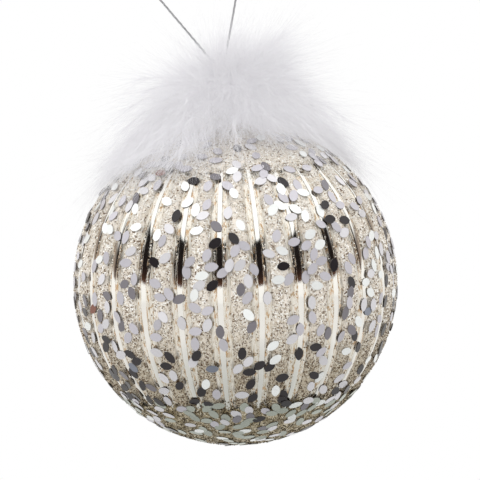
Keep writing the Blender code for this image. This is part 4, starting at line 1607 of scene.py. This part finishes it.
    def _plume(self, azimuth: float, rise: float) -> tuple[np.ndarray, np.ndarray]:
        """One plume: a quill that arcs out of the root, with barbs all along it."""
        rng = self.rng
        span = self.reach(math.degrees(azimuth), rise) * rng.uniform(0.86, 1.03)
        height = self.root_height + rng.uniform(-0.001, 0.002)
        far = span - self.root_radius * math.cos(math.radians(rise))
        quill = self._quill(azimuth, rise, height, span * 0.45, far, 42.0)
        count = self.barbs_each
        start = rng.beta(1.1, 1.0, count)[:, None]
        spot, along = arc(*quill, start), arc_way(*quill, start)
        across = unit(np.cross(along, rng.normal(size=(count, 3))))
        level = unit(np.cross(along, UP + 0.001))
        across = unit(across + level * np.sign(np.sum(across * level, -1, keepdims=True)) * 0.9)
        spread = np.radians(rng.normal(46.0, 12.0, (count, 1)) * (1.15 - 0.62 * start))
        way = unit(along * np.cos(spread) + across * np.sin(spread))
        long_ones = rng.random((count, 1)) < 0.16
        length = rng.uniform(0.0085, 0.0150, (count, 1)) * (1.0 - 0.25 * start)
        length = length * np.where(long_ones, 1.7, 1.0)
        return self._barbs(spot, way, along, length), np.where(long_ones[:, 0], 0.000030, 0.000042)

    def _quill(self, azimuth: float, rise: float, height: float, near: float, far: float,
               lift: float) -> tuple[np.ndarray, np.ndarray, np.ndarray]:
        """Where a quill that arcs out of the ruff's root starts, bends to and ends.

        Args:
            azimuth: radians round from +X.
            rise: degrees above level to its end.
            height: of its root above the ball's middle.
            near: from its root to the point it bends to.
            far: from its root to its end.
            lift: degrees by which the bend is higher than the end.

        Returns:
            The three points.
        """
        out = np.array([math.cos(azimuth), math.sin(azimuth), 0.0])
        root = self.plan.middle + UP * height + out * self.root_radius
        lifted, low = math.radians(min(88.0, rise + lift)), math.radians(rise)
        middle = root + (out * math.cos(lifted) + UP * math.sin(lifted)) * near
        end = root + (out * math.cos(low) + UP * math.sin(low)) * far
        return root, middle, end + np.array([self.lean(rise), 0.0, 0.0])

    def _wisp(self, azimuth: float, rise: float) -> tuple[np.ndarray, np.ndarray]:
        """A thin plume that stands out of the ruff, its barbs combed towards the tip."""
        rng, count = self.rng, self.wisp_barbs
        span = self.far_reach(math.degrees(azimuth), rise) * rng.uniform(0.80, 1.02)
        quill = self._quill(azimuth, rise, self.root_height, span * 0.5, span - self.root_radius, 26.0)
        start = (0.35 + 0.65 * rng.beta(1.2, 1.0, count))[:, None]
        spot, along = arc(*quill, start), arc_way(*quill, start)
        across = unit(np.cross(along, rng.normal(size=(count, 3))))
        way = unit(along + 0.55 * across * rng.uniform(0.3, 1.3, (count, 1)))
        length = rng.uniform(0.0080, 0.0150, (count, 1))
        return self._barbs(spot, way, along, length), np.full(count, 0.000032)

    def _mantle(self, first: float) -> tuple[np.ndarray, np.ndarray]:
        """Loose down all over the ruff's outside, which hides where one plume ends."""
        rng, count = self.rng, self.mantle_barbs
        azimuth = first + rng.uniform(0.0, BUNCH_TURN, count)
        rise = rng.uniform(-14.0, 88.0, count)
        span = np.array([self.reach(a, r) for a, r in zip(azimuth, rise)]) * rng.uniform(0.45, 0.92, count)
        turn, lift = np.radians(azimuth), np.radians(rise)
        way = np.stack([np.cos(turn) * np.cos(lift), np.sin(turn) * np.cos(lift), np.sin(lift)], -1)
        spot = self.plan.middle + UP * self.root_height + way * span[:, None]
        spot[:, 0] += self.lean(rise) * span / np.max(span)
        leaning = unit(way + 0.5 * rng.normal(size=(count, 3)))
        return self._barbs(spot, leaning, way,
                           rng.uniform(0.0045, 0.0085, (count, 1))), np.full(count, 0.000040)

    def _tuft(self, first: float) -> tuple[np.ndarray, np.ndarray]:
        """Short down close round the cap, so that nothing shows between the plumes."""
        rng, count = self.rng, self.tuft_barbs
        azimuth = np.radians(first + rng.uniform(0.0, BUNCH_TURN, (count, 1)))
        rise = np.radians(rng.uniform(-20.0, 88.0, (count, 1)))
        out = np.concatenate([np.cos(azimuth), np.sin(azimuth), np.zeros_like(azimuth)], -1)
        spot = self.plan.middle + UP * self.root_height + out * rng.uniform(0.0105, 0.0135, (count, 1))
        way = unit(out * np.cos(rise) + UP * np.sin(rise) + rng.normal(0.0, 0.25, (count, 3)))
        length = rng.uniform(0.006, 0.013, (count, 1))
        return self._barbs(spot, way, way, length), np.full(count, 0.000046)

    def _barbs(self, spot: np.ndarray, way: np.ndarray, along: np.ndarray, length: np.ndarray) -> np.ndarray:
        """Bend straight barbs towards their quill's tip, let them sag and waver."""
        count = len(spot)
        t = np.linspace(0.0, 1.0, self.barb_points)[None, :, None]
        sag = np.array([0.0, 0.0, -1.0])
        phase = self.rng.uniform(0.0, 2 * math.pi, (count, 1, 1))
        wave_way = unit(self.rng.normal(size=(count, 3)))[:, None, :]
        wave = wave_way * np.sin(t * self.rng.uniform(3.0, 7.0, (count, 1, 1)) + phase) * 0.05 * t
        bend = self.rng.normal(0.0, 0.22, (count, 3))[:, None, :]
        line = (way[:, None, :] * t + (along[:, None, :] * 0.30 + sag * 0.10 + bend) * t**2 + wave)
        return spot[:, None, :] + line * length[:, :, None]

    def _keep_clear(self, lines: np.ndarray) -> np.ndarray:
        """Lift barbs off the ball, and part them beside the cord."""
        centre = self.plan.middle
        away = lines - centre
        radius = np.linalg.norm(away, axis=-1, keepdims=True)
        floor = self.clear_radius + self.rng.uniform(0.0, 0.0016, (len(lines), 1, 1))
        neck = np.degrees(np.arccos(np.clip(away[..., 2:] / radius, -1, 1))) < 10.0
        lines = np.where((radius < floor) & ~neck, centre + away / radius * floor, lines)
        high = ease(lines[..., 2] - centre[2], 0.0570, 0.0594)
        from_pivot = np.hypot(lines[..., 0] - centre[0], lines[..., 2] - centre[2] - self.pivot_height)
        slot = self.slot_half + self.knot_room * (1.0 - ease(from_pivot, 0.0048, 0.0070))
        y = lines[..., 1]
        own_side = np.where(y[:, :1] < 0.0, -1.0, 1.0)
        parted = own_side * np.sqrt(y * y + slot**2)
        lines[..., 1] = y + (parted - y) * high
        return lines

    def _sweep(self, name: str, lines: np.ndarray, thick: np.ndarray) -> bpy.types.Object:
        """Give every line a fine three-sided, tapering body that is closed at both ends."""
        count, rows, _ = lines.shape
        along = unit(np.gradient(lines, axis=1))
        side = unit(np.cross(along, self.rng.normal(size=(count, 1, 3))))
        other = np.cross(along, side)
        taper = 1.0 - 0.72 * np.linspace(0.0, 1.0, rows)
        size = thick[:, None] * taper[None, :]
        rings = []
        for corner in range(3):
            angle = corner * 2.0 * math.pi / 3.0
            rings.append(lines + size[..., None] * (math.cos(angle) * side + math.sin(angle) * other))
        points = np.stack(rings, 2).reshape(-1, 3)
        ring = np.arange(rows - 1)[:, None] * 3
        corner = np.arange(3)[None, :]
        after = (corner + 1) % 3
        walls = np.stack([
            np.stack([ring + corner, ring + after, ring + 3 + after], -1),
            np.stack([ring + corner, ring + 3 + after, ring + 3 + corner], -1)], 0).reshape(-1, 3)
        last = (rows - 1) * 3
        ends = np.array([(0, 2, 1), (last, last + 1, last + 2)])
        one = np.concatenate([walls, ends])
        faces = (np.arange(count)[:, None, None] * rows * 3 + one[None]).reshape(-1, 3)
        piece = mesh_object(name, points, faces, flat=False)
        point_value(piece, "along", np.tile(np.repeat(np.linspace(0.0, 1.0, rows), 3), count))
        return piece


# ------------------------------------------------------------- cap and its wire


@dataclass
class CapAndWire:
    """The pressed cap, its wire hanger and the string ring, kept from the frame."""

    effects: SharedEffects

    def dress(self) -> None:
        """Give the three kept nodes their finishes."""
        finishes = {
            "ball_cap": CapMetal("cap_metal", linear(214, 212, 206), linear(150, 146, 138),
                                 0.24).build(self.effects),
            "spring_hanger": CapMetal("wire_steel", linear(196, 196, 198), linear(120, 120, 124),
                                      0.20).build(self.effects),
            "ruff_core": CottonString().build(self.effects),
        }
        for node, material in finishes.items():
            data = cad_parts[node].data
            data.materials.clear()
            data.materials.append(material)
            LOG.info("dressed %s", node)


def write_sizes() -> None:
    """Work out the frame's box and the finished model's box."""
    boxes = {name: [[float(v) for v in corner] for corner in box]
             for name, box in (("cad", CAD_BOX), ("visual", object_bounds()))}


def main() -> None:
    """Build the studio and the ornament, piece by piece."""
    logging.basicConfig(level=logging.INFO, format="%(message)s")
    rng = np.random.default_rng(SEED)
    plan = read_plan()
    LOG.info("ball's middle %s, radius %.1f mm", tuple(round(v, 4) for v in plan.centre),
             plan.crest_radius / MM)
    studio = Studio(aim_at=plan.centre)
    studio.place_camera()
    effects = SharedEffects()
    HangingCord(SilverThread(), effects).build()
    glass = GlassBall(plan)
    glass.build(SilveredGlass().build(effects))
    champagne = GlitterFinish("champagne_glitter", linear(118, 96, 76), linear(192, 180, 162),
                              linear(224, 215, 202),
                              linear(255, 254, 250), linear(232, 224, 213), plan.centre.z)
    # The base glitter's darker gold is partly its own colour and partly painted shade for the ball's darker
    # underside.
    base_gold_and_shade = GlitterFinish("base_glitter", linear(76, 64, 46), linear(146, 132, 102), linear(186, 174, 146),
                             linear(246, 240, 226), linear(152, 142, 118), plan.centre.z,
                             low_painted_shade=linear(224, 219, 207))
    coat = GlitterCoat(plan, rng, champagne, base_gold_and_shade, effects)
    sequins = Sequins(plan, rng, SequinFinish(), glass, coat)
    places = sequins.place()
    coat.build(np.concatenate(list(places.values())))
    sequins.build(places)
    CapAndWire(effects).dress()
    DownRuff(plan, rng, DownFinish()).build()
    studio.lay_floor()
    studio.light()
    write_sizes()


if __name__ == "__main__":
    main()
